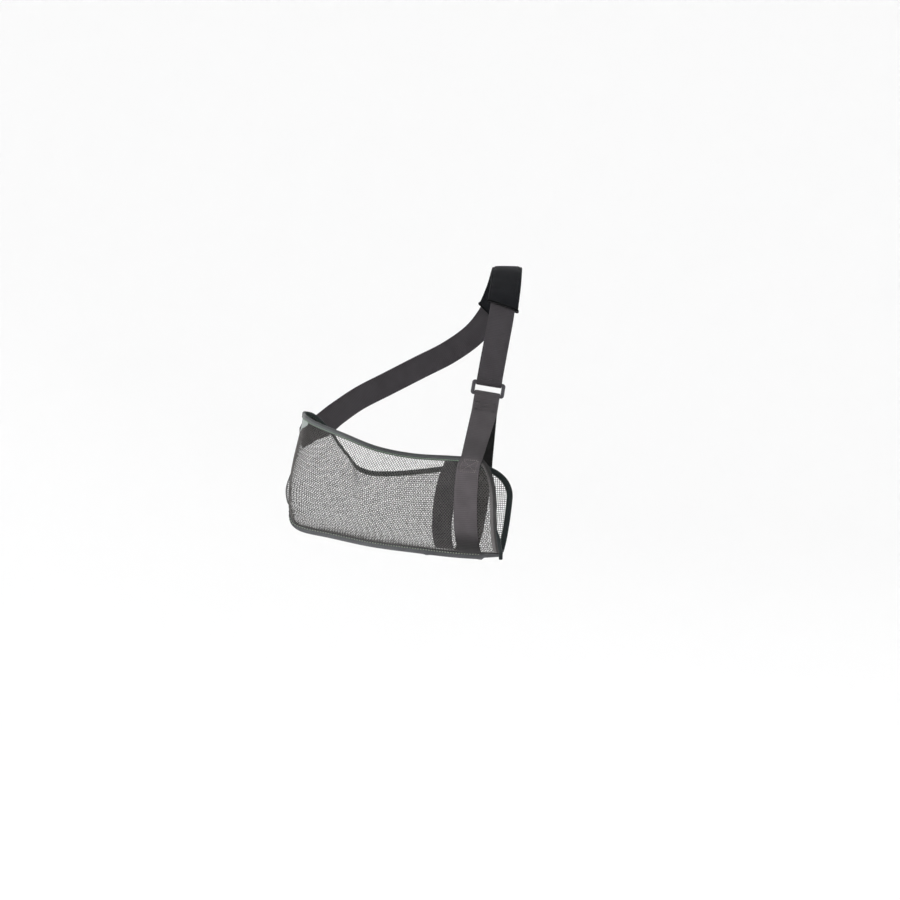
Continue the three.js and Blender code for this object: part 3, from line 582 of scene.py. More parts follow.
# Near black: painted shade on the hand end's turned-over edge.
EDGE_TAPE = tape_material("edge_tape", (0.006, 0.009, 0.009), (0.026, 0.032, 0.034))
PATCH = tape_material("patch", (0.2, 0.225, 0.215), (0.42, 0.46, 0.445), grain=0.6)
HEM = pad_material("pad_hem", (0.0008, 0.001, 0.0014), (0.003, 0.0034, 0.0042))
INNER_WEBBING = webbing_material("inner_webbing", (0.017, 0.016, 0.019), (0.045, 0.042, 0.049))
PAD = pad_material("pad_cover", (0.002, 0.0024, 0.0032), (0.009, 0.0098, 0.012))
PLASTIC = plastic_material("ring_plastic", (0.017, 0.016, 0.02), (0.031, 0.029, 0.037))
GREEN_THREAD = thread_material("green_thread", (0.2, 0.3, 0.2))
DARK_GREEN_THREAD = thread_material("dark_green_thread", (0.03, 0.07, 0.04))
DARK_THREAD = thread_material("dark_thread", (0.02, 0.018, 0.02))
GREY_THREAD = thread_material("grey_thread", (0.19, 0.17, 0.165))
PALE_THREAD = thread_material("pale_thread", (0.36, 0.42, 0.31))


# ---- making pieces


def piece(name, points, faces, material, node_names=(), uv=None):
    """A mesh in the row frame from points in millimetres. uv gives a place on the cloth for each point."""
    mesh = bpy.data.meshes.new(name)
    points = np.asarray(points, float).reshape(-1, 3) * METRE
    mesh.from_pydata(points.tolist(), [], [list(map(int, f)) for f in faces])
    if uv is not None:
        layer = mesh.uv_layers.new(name="cloth")
        corner = np.zeros(len(mesh.loops), int)
        mesh.loops.foreach_get("vertex_index", corner)
        layer.data.foreach_set("uv", np.asarray(uv, float).reshape(-1, 2)[corner].ravel())
    mesh.polygons.foreach_set("use_smooth", [True] * len(mesh.polygons))
    mesh.update()
    made = bpy.data.objects.new(name, mesh)
    bpy.context.scene.collection.objects.link(made)
    made.data.materials.append(material)
    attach(made, "root")
    if node_names:
        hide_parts(*node_names)
    return made


def tube_faces(rows, around, caps=True):
    """Quads of a closed tube whose points are listed row by row."""
    i, j = np.meshgrid(np.arange(rows - 1), np.arange(around), indexing="ij")
    i, j = i.ravel(), j.ravel()
    k = (j + 1) % around
    low, high = i * around, (i + 1) * around
    faces = np.stack([low + j, low + k, high + k, high + j], axis=1).tolist()
    if caps:
        half = around // 2
        for row, turn in ((0, 1), (rows - 1, -1)):
            base = row * around
            for j in range(half - 1):
                a, b, c, d = j, j + 1, around - 2 - j, around - 1 - j
                quad = [base + a, base + d, base + c, base + b]
                faces.append(quad[::turn])
    return faces


def capped_faces(rows, around):
    """A closed tube's quads and one flat face over each end."""
    faces = tube_faces(rows, around, caps=False)
    last = (rows - 1) * around
    return faces + [list(range(around)), list(range(last, last + around))[::-1]]


def turned_quads(rows, around):
    """A tube's quads facing the other way."""
    return [[a, d, c, b] for a, b, c, d in tube_faces(rows, around, caps=False)]


def cloth_map(run, across):
    """A place on the cloth for each point, from the run of each row and the place across it."""
    return np.stack(np.broadcast_arrays(run[:, None], across), axis=-1)


def resample(grid, step):
    """Rows of a ribbon at even spacing along its middle, and the run of each."""
    run = run_along(grid[:, grid.shape[1] // 2])
    count = max(2, int(round(run[-1] / step)))
    wanted = np.linspace(0, run[-1], count + 1)
    out = read_between(wanted, run, grid.reshape(len(grid), -1))
    return out.reshape(count + 1, grid.shape[1], 3), wanted


def smoothed(grid, reach):
    """Rounds the kinks of a ribbon's rows, ends kept."""
    kernel = np.exp(-np.linspace(-2, 2, 2 * reach + 1) ** 2)
    kernel /= kernel.sum()
    before = 2 * grid[:1] - grid[1 : reach + 1][::-1]
    after = 2 * grid[-1:] - grid[-reach - 1 : -1][::-1]
    longer = np.concatenate([before, grid, after])
    return sum(w * longer[k : k + len(grid)] for k, w in enumerate(kernel))


def widen(grid, shares):
    """More columns across a ribbon, by straight lines between its own."""
    flat = np.moveaxis(grid, 1, 0).reshape(grid.shape[1], -1)
    out = read_between(shares, np.linspace(-1, 1, grid.shape[1]), flat)
    return np.moveaxis(out.reshape(len(shares), len(grid), 3), 0, 1)


def grid_normals(grid):
    """Normals of a grid of points, rows by columns."""
    return unit(np.cross(np.gradient(grid, axis=0), np.gradient(grid, axis=1)))


def two_sided(name, grid, half, run, across, material, node_names):
    """A closed sheet over a grid of points, half as thick each way."""
    lift = grid_normals(grid) * half[..., None]
    points = np.concatenate([grid + lift, (grid - lift)[:, ::-1]], axis=1)
    faces = tube_faces(len(points), points.shape[1])
    return piece(name, points, faces, material, node_names, cloth_map(run, across))


def ribbon(name, grid, material, node_name):
    """A woven strap over rows of points: rounded selvages and a rib across every pitch."""
    grid, run = resample(grid, STRAP_STEP)
    selvage = 0.07 * (1 - np.cos(np.linspace(0, math.pi / 2, 4)))
    inner = np.linspace(-1, 1, 7)[1:-1] * 0.93
    shares = np.concatenate([-1 + selvage, inner, (1 - selvage)[::-1]])
    grid = widen(grid, shares)
    profile = (1 - np.abs(shares) ** 16) ** 0.5 * 0.94 + 0.06
    ribs = RIB_HEIGHT * np.cos(2 * math.pi * run / RIB_PITCH)[:, None] * (1 - np.abs(shares) ** 10)
    half = (WEBBING_THICKNESS / 2 - RIB_HEIGHT) * profile + ribs
    width = np.linalg.norm(grid[0, -1] - grid[0, 0])
    across = np.concatenate([shares * width / 2, shares[::-1] * width / 2 + UNDERSIDE])
    return two_sided(name, grid, half, run, across, material, (node_name,))


def stitches(name, places, along, out, length, radius, material):
    """Short thread stitches, one at each place, lying along a direction and sunk half into the cloth."""
    places, along, out = (np.asarray(v, float) for v in (places, along, out))
    side = unit(np.cross(along, out))
    sections = [(-0.5, 0.15), (-0.36, 0.85), (0.0, 1.0), (0.36, 0.85), (0.5, 0.15)]
    sides = 6
    points = []
    for share, fat in sections:
        lift = radius * (0.35 - 1.4 * abs(share)) * 0.8
        for angle in np.arange(sides) * 2 * math.pi / sides:
            ring = radius * fat * (math.cos(angle) * side + math.sin(angle) * out)
            points.append(places + along * length * share + out * lift + ring)
    points = np.stack(points, axis=1)
    count, each = points.shape[:2]
    one = tube_faces(len(sections), sides, caps=False)
    one += [list(range(sides))[::-1], list(range(each - sides, each))]
    faces = [[n * each + v for v in face] for n in range(count) for face in one]
    return piece(name, points, faces, material)


def along_path(points, spacing):
    """Places at even spacing along a line of points, with its direction and the share of it at each."""
    run = run_along(points)
    wanted = np.arange(spacing / 2, run[-1] - spacing / 2, spacing)
    places, ahead, behind = (read_between(wanted + step, run, points) for step in (0, 0.5, -0.5))
    return places, unit(ahead - behind), wanted / run[-1]


def inside_polygon(x, y, polygon):
    inside = np.zeros(x.shape, bool)
    for (x0, y0), (x1, y1) in zip(polygon, np.roll(polygon, -1, axis=0)):
        crosses = (y0 > y) != (y1 > y)
        with np.errstate(divide="ignore", invalid="ignore"):
            at = (x1 - x0) * (y - y0) / (y1 - y0) + x0
        inside ^= crosses & (x < at)
    return inside


def net(name, panel, material, node_name, grain):
    """The panel as a knitted net: a real hole in every cell, strands that are thickest along their middles.

    The rows of holes run at the grain's angle to the seam. The net's flat size and area of cloth are
    returned with it."""
    u, v = panel.to_flat(*np.concatenate(panel.outline(NET_UNDER_TAPE, NET_UNDER_TAPE)).T)
    polygon = np.concatenate([np.stack([u, v], axis=1), [[u[-1], 0.9], [u[0], 0.9]]])
    cos, sin = math.cos(math.radians(grain)), math.sin(math.radians(grain))
    columns, rows = (int((panel.width + v.max()) / pitch) for pitch in (HOLE_PITCH, HOLE_ROW))
    i, j = np.meshgrid(np.arange(-columns, columns), np.arange(-rows, rows), indexing="ij")
    x, y = (i + (j % 2) * 0.5) * HOLE_PITCH, j * HOLE_ROW
    kept = inside_polygon(x * cos - y * sin, x * sin + y * cos, polygon)
    tip = HOLE_ROW / 2 + HOLE_PITCH**2 / 8 / HOLE_ROW
    # Junctions of three strands: over and under each cell's middle
    spots, index = [], {}

    def junction(over, a, b):
        key = (over, a, b)
        if key not in index:
            index[key] = len(spots)
            side = 1 if over else -1
            spots.append(((a + (b % 2) * 0.5) * HOLE_PITCH, b * HOLE_ROW + side * tip))
        return index[key]

    cells, centres = [], []
    for a, b in zip(i[kept], j[kept]):
        right = a + b % 2
        places = (False, right, b + 1), (True, a, b), (False, right - 1, b + 1)
        places += (True, right - 1, b - 1), (False, a, b), (True, right, b - 1)
        cells.append([junction(*place) for place in places])
        centres.append(((a + b % 2 * 0.5) * HOLE_PITCH, b * HOLE_ROW))
    cells, centres, spots = np.array(cells), np.array(centres), np.array(spots)
    shared = np.bincount(cells.ravel(), minlength=len(spots)) == 3
    opening = HOLE_OPEN * (1 + 0.05 * rng.standard_normal(len(cells)))
    holes = centres[:, None] + (spots[cells] - centres[:, None]) * opening[:, None, None]
    holes[..., 0] = centres[:, None, 0] + (holes[..., 0] - centres[:, None, 0]) * HOLE_NARROW
    count = len(spots)
    flat = np.concatenate([spots, holes.reshape(-1, 2)]) @ np.array([[cos, sin], [-sin, cos]])
    station, level = panel.from_flat(flat[:, 0], np.maximum(flat[:, 1], 0))
    station = np.where(flat[:, 0] < 0, flat[:, 0] / panel.width, station)
    points = panel.at(station, level)
    normals = panel.normal(station[:count], np.maximum(level[:count], LOWEST_NORMAL))
    lift = np.where(shared, YARN_THICKNESS / 2, 0.0)[:, None] * normals
    under = np.where(shared, np.cumsum(shared) - 1 + len(points), np.arange(count))
    all_points = np.concatenate([points[:count] + lift, points[count:], (points[:count] - lift)[shared]])
    hole = count + np.arange(len(cells) * 6).reshape(-1, 6)
    faces = []
    for k in range(6):
        n = (k + 1) % 6
        j0, j1, h0, h1 = cells[:, k], cells[:, n], hole[:, k], hole[:, n]
        u0, u1 = under[j0], under[j1]
        faces += [np.stack(face, axis=1) for face in ((j0, j1, h1), (j0, h1, h0), (u1, u0, h1), (u0, h0, h1))]
    faces = np.concatenate(faces)
    if panel.outward > 0:
        faces = faces[:, ::-1]
    made = piece(name, all_points, faces, material, (node_name,), None)
    cloth = len(cells) * HOLE_PITCH * HOLE_ROW * (1 - HOLE_OPEN**2 * HOLE_NARROW)
    return made, (panel.width * METRE, (max(v) + NET_UNDER_TAPE) * METRE), cloth * METRE**2


def band(name, panel, outer, inner, thickness, material, node_names, slot, columns=11):
    """Binding tape folded over an edge, between two lines of stations and levels."""
    shares = (1 - np.cos(np.linspace(0, math.pi, columns))) / 2
    station, level = (outer[:, None, k] + (inner - outer)[:, None, k] * shares for k in (0, 1))
    middle = panel.at(station, level)
    run = run_along(middle[:, 0])
    off = np.abs(2 * shares - 1)
    profile = np.clip(1 - off**5, 0, 1) ** 0.5 * 0.8 + 0.2 * (1 - off)
    pucker = 1 + 0.05 * np.sin(run / 3.3)[:, None] + 0.04 * np.sin(run / 7.9 + 1)[:, None]
    half = thickness / 2 * profile * pucker + 0.05
    width = np.linalg.norm(middle[:, -1] - middle[:, 0], axis=1)
    across = width[:, None] * np.concatenate([shares, shares[::-1]])
    return two_sided(name, middle, half, run, across, material, node_names)


# ---- the two nets

front_net, front_flat, front_cloth = net("front_net", front, NET, "front_panel", 0)
back_net, back_flat, back_cloth = net("back_net", back, NET_BACK, "back_panel", 45)

# ---- edge bindings


def hand_path(lines):
    """The part of an outline that goes round the corner and down the hand end."""
    top, arc, end = lines
    path = np.concatenate([[top[-1] + [CORNER_GAP, 0]], arc, end])
    path[:, 1] = np.maximum(path[:, 1], 0.02)
    return path[:-1]


front_edges, back_edges = (
    [panel.outline(0, 0), panel.outline(TOP_TAPE_WIDTH, HAND_TAPE_WIDTH)] for panel in (front, back)
)
top_lines = [lines[0] for lines in front_edges]
hand_lines = [hand_path(lines) for lines in front_edges]
back_lines = [np.concatenate([lines[0], hand_path(lines)]) for lines in back_edges]
band("top_tape", front, *top_lines, TAPE_THICKNESS, TOP_TAPE, ("front_top_binding",), "tape")
band("hand_tape", front, *hand_lines, TAPE_THICKNESS, HAND_TAPE, ("front_hand_binding",), "light_tape")
band("back_tape", back, *back_lines, TAPE_THICKNESS, BACK_TAPE, ("back_binding",), "tape")


def seam_wrap(name, points, front_edge, back_edge, out, widths, thickness, material, node_name):
    """Tape folded round the edges of both panels: a standing strip with a wing over each panel.

    front_edge and back_edge give, for each seam point, a line over that panel's cloth away from the seam,
    with its outward normals."""
    (front_line, front_normals), (back_line, back_normals) = front_edge, back_edge
    over, under = np.array([0.85, 0.7, 0.35])[:, None], np.array([-0.5, -0.5, -0.2])[:, None]
    share, fat = np.array([(0.12, 0.92), (0.35, 1.0), (0.6, 1.0), (0.82, 0.96), (0.95, 0.7)]).T[..., None]
    middle, reach = points[:, None], out[:, None] * widths[:, None, None]
    side = unit(front_line[:, :1] - back_line[:, :1]) * thickness / 2 * fat
    rows = [
        (front_line + front_normals * over)[:, ::-1],
        middle + reach * share + side,
        middle + reach,
        (middle + reach * share - side)[:, ::-1],
        back_line + back_normals * over,
        (back_line + back_normals * under)[:, ::-1],
        front_line + front_normals * under,
    ]
    rows = np.concatenate(rows, axis=1)
    girth = 0.5 + run_along(rows[len(rows) // 2, 3:14])
    girth = np.concatenate([[-7, -5, -3.5], girth, [-3.5, -5, -7], [-8] * 6])
    uv = cloth_map(run_along(points), girth)
    return piece(name, rows, capped_faces(*rows.shape[:2]), material, (node_name,), uv)


def edge_over(panel, shares, heights):
    """For shares of the seam's length, lines over the cloth at heights in millimetres from the seam."""
    table = np.linspace(0, 1, 1201)
    curve = seam_curve.at_share(np.linspace(0, 1, 2001))
    nearest = [np.argmin(np.linalg.norm(curve - p, axis=1)) / 2000 for p in panel.starts.at(table)]
    stations = np.interp(shares, np.maximum.accumulate(nearest), table)
    station = np.repeat(stations[:, None], len(heights), axis=1)
    level = panel.level_at(station, heights)
    return panel.at(station, level), panel.normal(station, np.maximum(level, LOWEST_NORMAL))


seam_shares = np.linspace(0, 1, 170)
seam_points = seam_curve.at_share(seam_shares)
seam_out = unit(np.cross(ASIDE, unit(np.gradient(seam_points, axis=0))))
seam_widths = ELBOW_TAPE_WIDTH + (SEAM_TAPE_WIDTH - ELBOW_TAPE_WIDTH) * smoothstep(seam_shares, 0, 0.1)
seam_widths = (seam_widths + 0.95) * (0.3 + 0.7 * smoothstep(seam_shares, 0, 0.02))

# The lower tape has a small lump under the inner strap, and ends in a dog-ear before the hand end
DOG_EAR = 0.914
seam_widths = seam_widths + 0.9 * np.exp(-(((seam_shares - 0.67) / 0.012) ** 2))
past_ear = smoothstep(seam_shares, DOG_EAR, DOG_EAR + 0.006)
seam_widths = seam_widths + 0.7 * smoothstep(seam_shares, DOG_EAR - 0.03, DOG_EAR)
seam_widths = seam_widths * (1 - past_ear) + past_ear * np.interp(seam_shares, (DOG_EAR, 1), (7.4, 4.0))
seam_wrap(
    "bottom_tape",
    seam_points,
    *(edge_over(panel, seam_shares, (0.8, 2.2, 3.8)) for panel in (front, back)),
    seam_out,
    seam_widths,
    SEAM_TAPE_THICKNESS * 0.9,
    LIGHT_TAPE,
    "bottom_binding",
)


def elbow_edge(panel, levels):
    """Lines over the cloth beside the elbow seam, at each level."""
    station = np.array([0.5, 1.1, 1.8]) / panel.reach(0.03, levels)[0][:, None]
    level = np.repeat(levels[:, None], 3, axis=1)
    return panel.at(station, level), panel.normal(station, level)


# The elbow seam, level by level up the meeting line of the panels
elbow_levels = np.linspace(0.02, 1 - (TOP_TAPE_WIDTH * 0.6) / front.reach(0, 0.95)[1], 60)
elbow_points = front.at(0.0, elbow_levels)
through = unit(front.at(0.03, 0.5) - back.at(0.03, 0.5))
seam_wrap(
    "elbow_tape",
    elbow_points,
    *(elbow_edge(panel, elbow_levels) for panel in (front, back)),
    unit(np.cross(unit(np.gradient(elbow_points, axis=0)), through)),
    np.full(len(elbow_levels), ELBOW_TAPE_WIDTH),
    ELBOW_TAPE_THICKNESS * 0.9,
    ELBOW_TAPE,
    "elbow_seam",
)


def flat_strip(name, middle, across, normals, widths, thickness, material):
    """A flat strip with rounded edges along a line of points."""
    k, h = rounded(np.linspace(0, 2 * math.pi, 14, endpoint=False), 0.7, 0.7)
    aside = across[:, None] * widths[:, None, None] / 2 * k[:, None]
    points = middle[:, None] + aside + normals[:, None] * thickness / 2 * h[:, None]
    uv = cloth_map(run_along(middle), k * 5 + 8 * (h < 0))
    return piece(name, points, tube_faces(len(points), 14), material, (), uv)


# The hand end's outer edge turns over below its middle, down past the lower tape. Its near-black colour is
# painted shade in the fold.
FOOT_STEPS = 8
edge_levels = np.linspace(0.3, 0.02, 26)
edge_line, edge_normals = front.at(1.0, edge_levels), front.normal(1.0, edge_levels)
foot = edge_line[-1] + seam_out[-1] * np.linspace(1.2, 9.6, FOOT_STEPS)[:, None]
edge_line = np.concatenate([edge_line, foot])
edge_normals = np.concatenate([edge_normals, np.broadcast_to(edge_normals[-1], (FOOT_STEPS, 3))])
edge_across = unit(np.cross(np.gradient(edge_line, axis=0), edge_normals))
edge_across = edge_across * np.sign(edge_across @ ALONG)[:, None]
edge_widths = 0.6 + 5.4 * smoothstep(np.arange(len(edge_line)), 0, 14)
edge_line = edge_line + edge_across * (edge_widths / 2 - 2.2)[:, None]
flat_strip("hand_edge", edge_line, edge_across, edge_normals, edge_widths, 3.7, EDGE_TAPE)

# Doubled cloth at the top of the elbow, narrowing down the elbow seam
patch_levels = np.linspace(0.96, 0.82, 30)
patch_stations = np.interp(patch_levels, (0.82, 0.86, 0.9, 0.93, 0.96), (0.03, 0.08, 0.15, 0.18, 0.19))
patch_lines = [np.stack([s, patch_levels], axis=1) for s in (np.full(30, 0.004), patch_stations)]
band("elbow_patch", front, *patch_lines, 1.9, PATCH, (), "light_tape", columns=21)

# ---- straps

roll = math.radians(RING_ROLL)
lean = math.radians(RING_LEAN)
BAR = np.array([math.cos(roll), 0, -math.sin(roll)])
PULL = np.array([math.sin(roll) * math.cos(lean), math.sin(lean), math.cos(roll) * math.cos(lean)])
OUT = unit(np.cross(BAR, PULL))
RING_CENTRE = np.array([-RING_SIDE, -RING_FORWARD, -RING_DROP], float)
BAR_OFFSET = (RING_HEIGHT - RING_BAR) / 2
LOOP_RADIUS = math.hypot(RING_BAR, RING_THICKNESS) / 2 + CLEARANCE + WEBBING_THICKNESS / 2
PLY_OFFSET = (WEBBING_THICKNESS + CLEARANCE) / 2
ACROSS = np.linspace(-1, 1, 9)
MESH_LIFT = MESH_THICKNESS / 2 + CLEARANCE + WEBBING_THICKNESS / 2
TAPE_LIFT = TAPE_THICKNESS / 2 + CLEARANCE + WEBBING_THICKNESS / 2
END_LIFT = TAPE_LIFT + 2 * CLEARANCE


def ring_point(side, out, up):
    return RING_CENTRE + PULL * (side * BAR_OFFSET + up) + OUT * out


def line(centre, across, width=WEBBING_WIDTH):
    return np.asarray(centre) + ACROSS[:, None] * np.asarray(across) * width / 2


def turn(side, steps=28):
    """Rows of the strap's turn round one of the ring's bars."""
    angles = np.linspace(0, math.pi, steps + 1)
    places = [ring_point(side, LOOP_RADIUS * math.cos(a), -side * LOOP_RADIUS * math.sin(a)) for a in angles]
    return np.array([line(place, BAR) for place in places])


def sewn(panel, levels, share, lift, width):
    """Rows of a strap sewn on a panel, a height above its surface."""
    station = panel.station_along(levels, share)
    half = width / 2 / panel.reach(station, levels)[0]
    s = station[:, None] + ACROSS[None, :] * half[:, None]
    l = np.broadcast_to(levels[:, None], s.shape)
    return panel.at(s, l) + panel.normal(s, l) * lift[:, None, None]


def between(first, last, steps):
    shares = np.linspace(0, 1, steps + 2)[1:-1]
    return first + (last - first) * shares[:, None, None]


def strap_share(place, levels):
    bottom, top, edge = place
    return bottom + (top - bottom) * levels + (edge - top) * smoothstep(levels, 0.88, 1)


def sewn_lift(levels):
    return MESH_LIFT + (TAPE_LIFT - MESH_LIFT) * smoothstep(levels, 0.8, 0.93)


low_levels = 0.005 + 0.345 * (1 - np.cos(np.linspace(0, math.pi / 2, 30)))
strap_levels = np.concatenate([low_levels, np.linspace(0.36, 1, 60)])
front_rows, back_rows = (
    sewn(panel, levels, strap_share(place, levels), sewn_lift(levels), WEBBING_WIDTH)
    for panel, levels, place in (
        (front, strap_levels, FRONT_WEBBING),
        (back, strap_levels[::-1], BACK_WEBBING),
    )
)
low = -(LOOP_LENGTH + STITCHED_LENGTH)
FREE_ROWS = 40
PLY_ROWS = 8


def ply(out, up):
    return line(ring_point(-1, out, up), BAR)


split_rows = np.concatenate(
    [
        front_rows,
        between(front_rows[-1], ply(PLY_OFFSET, low), FREE_ROWS),
        [ply(PLY_OFFSET, up) for up in np.linspace(low, -LOOP_LENGTH, PLY_ROWS)],
        turn(-1),
        [ply(-PLY_OFFSET, up) for up in np.linspace(-LOOP_LENGTH, low, PLY_ROWS)],
        between(ply(-PLY_OFFSET, low), back_rows[0], FREE_ROWS),
        back_rows,
    ]
)
split_run = run_along(split_rows[:, 4])
edge_at, ring_at = split_run[len(front_rows) - 1], split_run[len(front_rows) + FREE_ROWS + PLY_ROWS]
back_edge_at, split_end = split_run[-len(back_rows)], split_run[-1]
# Painted shade up the sewn front leg (dark at its foot, with a dark crease line across it), over the top
# tape's edge and the ring, and down the back leg
SPLIT_PAINTED_SHADE = [(0, 0.12), (14, 0.12), (25, 0.22), (33, 0.48), (42, 0.85), (52, 1.0)]
SPLIT_PAINTED_SHADE += [
    (edge_at + place, shade)
    for place, shade in ((-22, 1.0), (-18, 0.72), (-15, 1.0), (-6, 0.7), (4, 0.45), (24, 0.47), (50, 0.62))
]
SPLIT_PAINTED_SHADE += [(ring_at - 4, 0.6), (ring_at + 6, 0.45), (back_edge_at, 0.6), (split_end, 0.7)]
# The split strap's colour is darkened by painted shade along its run and on its top side.
split_material = webbing_material(
    "split_webbing", (0.038, 0.032, 0.035), (0.103, 0.092, 0.099), [(0, SPLIT_PAINTED_SHADE), (1, TOP_SIDE_PAINTED_SHADE)]
)
split_grid = resample(split_rows, KINK_STEP)[0]
ribbon("split_strap", smoothed(split_grid, 3), split_material, "split_webbing")

inner_levels = np.linspace(0.02, 1 - TOP_TAPE_WIDTH / 150, 70)
bottom, middle, top = INNER_STRAP
inner_share = np.where(
    inner_levels < 0.5,
    bottom + (middle - bottom) * inner_levels / 0.5,
    middle + (top - middle) * ((inner_levels - 0.5) / 0.5) ** 2,
)
inner_rows = sewn(front, inner_levels, inner_share, np.full(len(inner_levels), -MESH_LIFT), INNER_WIDTH)
ribbon("inner_webbing", inner_rows, INNER_WEBBING, "inner_strap")

# The shoulder strap's way from the ring to the elbow corner
END_STEPS = 5
WAY_STEPS = 900
end_places = np.linspace(STRAP_END[:2], STRAP_END[2:], END_STEPS + 1)
end_faces = [back.normal(s, l) for s, l in end_places]
end_centres = [back.at(s, l) + n * END_LIFT for (s, l), n in zip(end_places, end_faces)]
target = end_centres[0]
way = [(ring_point(1, PLY_OFFSET, LOOP_LENGTH), OUT)]
way += [
    (np.array([-side * RING_SIDE, -forward * RING_FORWARD, -drop * RING_DROP]), face)
    for side, forward, drop, face in CHEST_ROWS
]
seat_index = len(way)
way.append(((0, 0, PAD_THICKNESS / 2), (0, 0, 1)))
way += [
    (np.array([side * target[0], reach * BACK_REACH, drop * target[2]]), face)
    for side, reach, drop, face in SPINE_ROWS
]
way += list(zip(end_centres, end_faces))
centres = Curve([centre for centre, _ in way], WAY_STEPS)
way_faces = Curve([face for _, face in way])


def strap_frame(distance):
    """Centre, direction across and outward normal of the strap at lengths from the ring."""
    parameter = np.clip(np.interp(distance, centres.run, centres.steps), 0, 1)
    tangent = centres.tangent(parameter)
    across = unit(np.cross(tangent, way_faces.inside(parameter)))
    return centres.inside(parameter), across, unit(np.cross(across, tangent))


def length_to(place):
    return centres.run[int(round(place / (len(way) - 1) * WAY_STEPS))]


def free_rows(distances, lift):
    """Rows of the free strap at lengths from the ring."""
    frames = zip(*strap_frame(distances))
    return np.array([line(centre + lift * face, across * flip) for centre, across, face in frames])


seat_length = length_to(seat_index)
sewn_length = length_to(len(way) - 1 - END_STEPS)
flip = np.sign(strap_frame(0)[1] @ BAR)
tail_run = TAIL_LENGTH - LOOP_LENGTH
tail = free_rows(np.linspace(tail_run, 0, 40), -2 * PLY_OFFSET)
main = free_rows(np.linspace(0, sewn_length, 500)[:-1], 0)


def line_on(station, level, across):
    """A row of the strap laid on the back panel, in a direction across."""
    along, rise = (slope / 0.02 for slope in back.slopes(station, level, 0.01))
    aa, ab, bb, ac, bc = along @ along, along @ rise, rise @ rise, along @ across, rise @ across
    share = ACROSS * WEBBING_WIDTH / 2
    s = station + share * (ac * bb - bc * ab) / (aa * bb - ab * ab)
    l = level + share * (bc * aa - ac * ab) / (aa * bb - ab * ab)
    return back.at(s, l) + back.normal(s, l) * END_LIFT


end_rows = []
for k, (s, l) in enumerate(end_places):
    tangent = end_centres[min(k + 1, END_STEPS)] - end_centres[max(k - 1, 0)]
    end_rows.append(line_on(s, l, unit(np.cross(tangent, end_faces[k])) * flip))
strap_rows = np.concatenate([tail, turn(1)[::-1], main, end_rows])
strap_rows = smoothed(resample(strap_rows, KINK_STEP)[0], 5)
# Painted shade along the shoulder strap: darker along its tail behind the ring, and near black under its turn
# round the ring's upper bar.
STRAP_PAINTED_SHADE = [(0, 0.7), (tail_run, 0.6), (tail_run + 3, 0.16), (tail_run + 10, 0.16), (tail_run + 15, 0.8)]
STRAP_PAINTED_SHADE += [(tail_run + 40, 1.0), (900, 1.0)]
strap_material = webbing_material(
    "shoulder_webbing", (0.0125, 0.0105, 0.012), (0.036, 0.031, 0.0365), [(0, STRAP_PAINTED_SHADE)]
)
ribbon("shoulder_webbing", strap_rows, strap_material, "shoulder_strap")

# ---- the pad

PAD_ROWS = 150
PAD_SIDES = 56


def pad_loop(share):
    """Points round the pad at a share of its length, and their places across the cloth."""
    swell = math.sqrt(max(0, 1 - abs(2 * share - 1) ** 6))
    thick = PAD_EDGE_THICKNESS + (PAD_THICKNESS - PAD_EDGE_THICKNESS) * swell
    k, h = rounded(np.linspace(0, 2 * math.pi, PAD_SIDES, endpoint=False), 0.45, 0.6)
    slant = PAD_SLANT * k * (2 * share - 1)
    centre, across, face = strap_frame(seat_length + (share - 0.5) * PAD_LENGTH + slant)
    edge = np.exp(-(((np.abs(k) - 0.86) / 0.05) ** 2))
    run = share * PAD_LENGTH
    puckers = 0.05 * np.abs(k) ** 3 * math.sin(run / 2.6) + 0.035 * np.sin(run / 13 + 2.2 * k)
    height = h * thick / 2 * (1 - 0.22 * edge) * (1 + puckers)
    aside = k * PAD_WIDTH / 2
    return centre + across * aside[:, None] + face * height[:, None], aside + 80 * (h < 0)


pad_shares = np.linspace(0, 1, PAD_ROWS)
pad_points, pad_across = (np.array(rows) for rows in zip(*(pad_loop(share) for share in pad_shares)))
pad_uv = cloth_map(pad_shares * PAD_LENGTH, pad_across)
pad_faces = capped_faces(PAD_ROWS, PAD_SIDES)
pad = piece("pad_cover", pad_points, pad_faces, PAD, ("shoulder_pad",), pad_uv)


def hem(name, loop, radius=1.5, sides=10):
    """A round hem along a closed line of points."""
    along = unit(np.roll(loop, -1, axis=0) - np.roll(loop, 1, axis=0))
    outward = loop - loop.mean(axis=0)
    outward = unit(outward - along * np.sum(outward * along, axis=1, keepdims=True))
    aside = np.cross(along, outward)
    angles = np.linspace(0, 2 * math.pi, sides, endpoint=False)[:, None]
    rows = [p + radius * (np.cos(angles) * o + np.sin(angles) * s) for p, o, s in zip(loop, outward, aside)]
    rows = np.array([*rows, rows[0]])
    uv = cloth_map(run_along(rows[:, 0]), np.arange(float(sides)))
    return piece(name, rows, tube_faces(len(rows), sides, caps=False), HEM, (), uv)


hem("pad_hem_front", pad_points[1])
hem("pad_hem_back", pad_points[-2])

# ---- the ring


def ring_path(width, height, radius, steps=8):
    """A rounded rectangle of points, round its corners from the lower right."""
    x, y = width / 2 - radius, height / 2 - radius
    out = []
    for cx, cy, start in ((x, -y, -90), (x, y, 0), (-x, y, 90), (-x, -y, 180)):
        for a in np.radians(np.linspace(start, start + 90, steps + 1)):
            out.append((cx + radius * math.cos(a), cy + radius * math.sin(a)))
    return np.array(out)


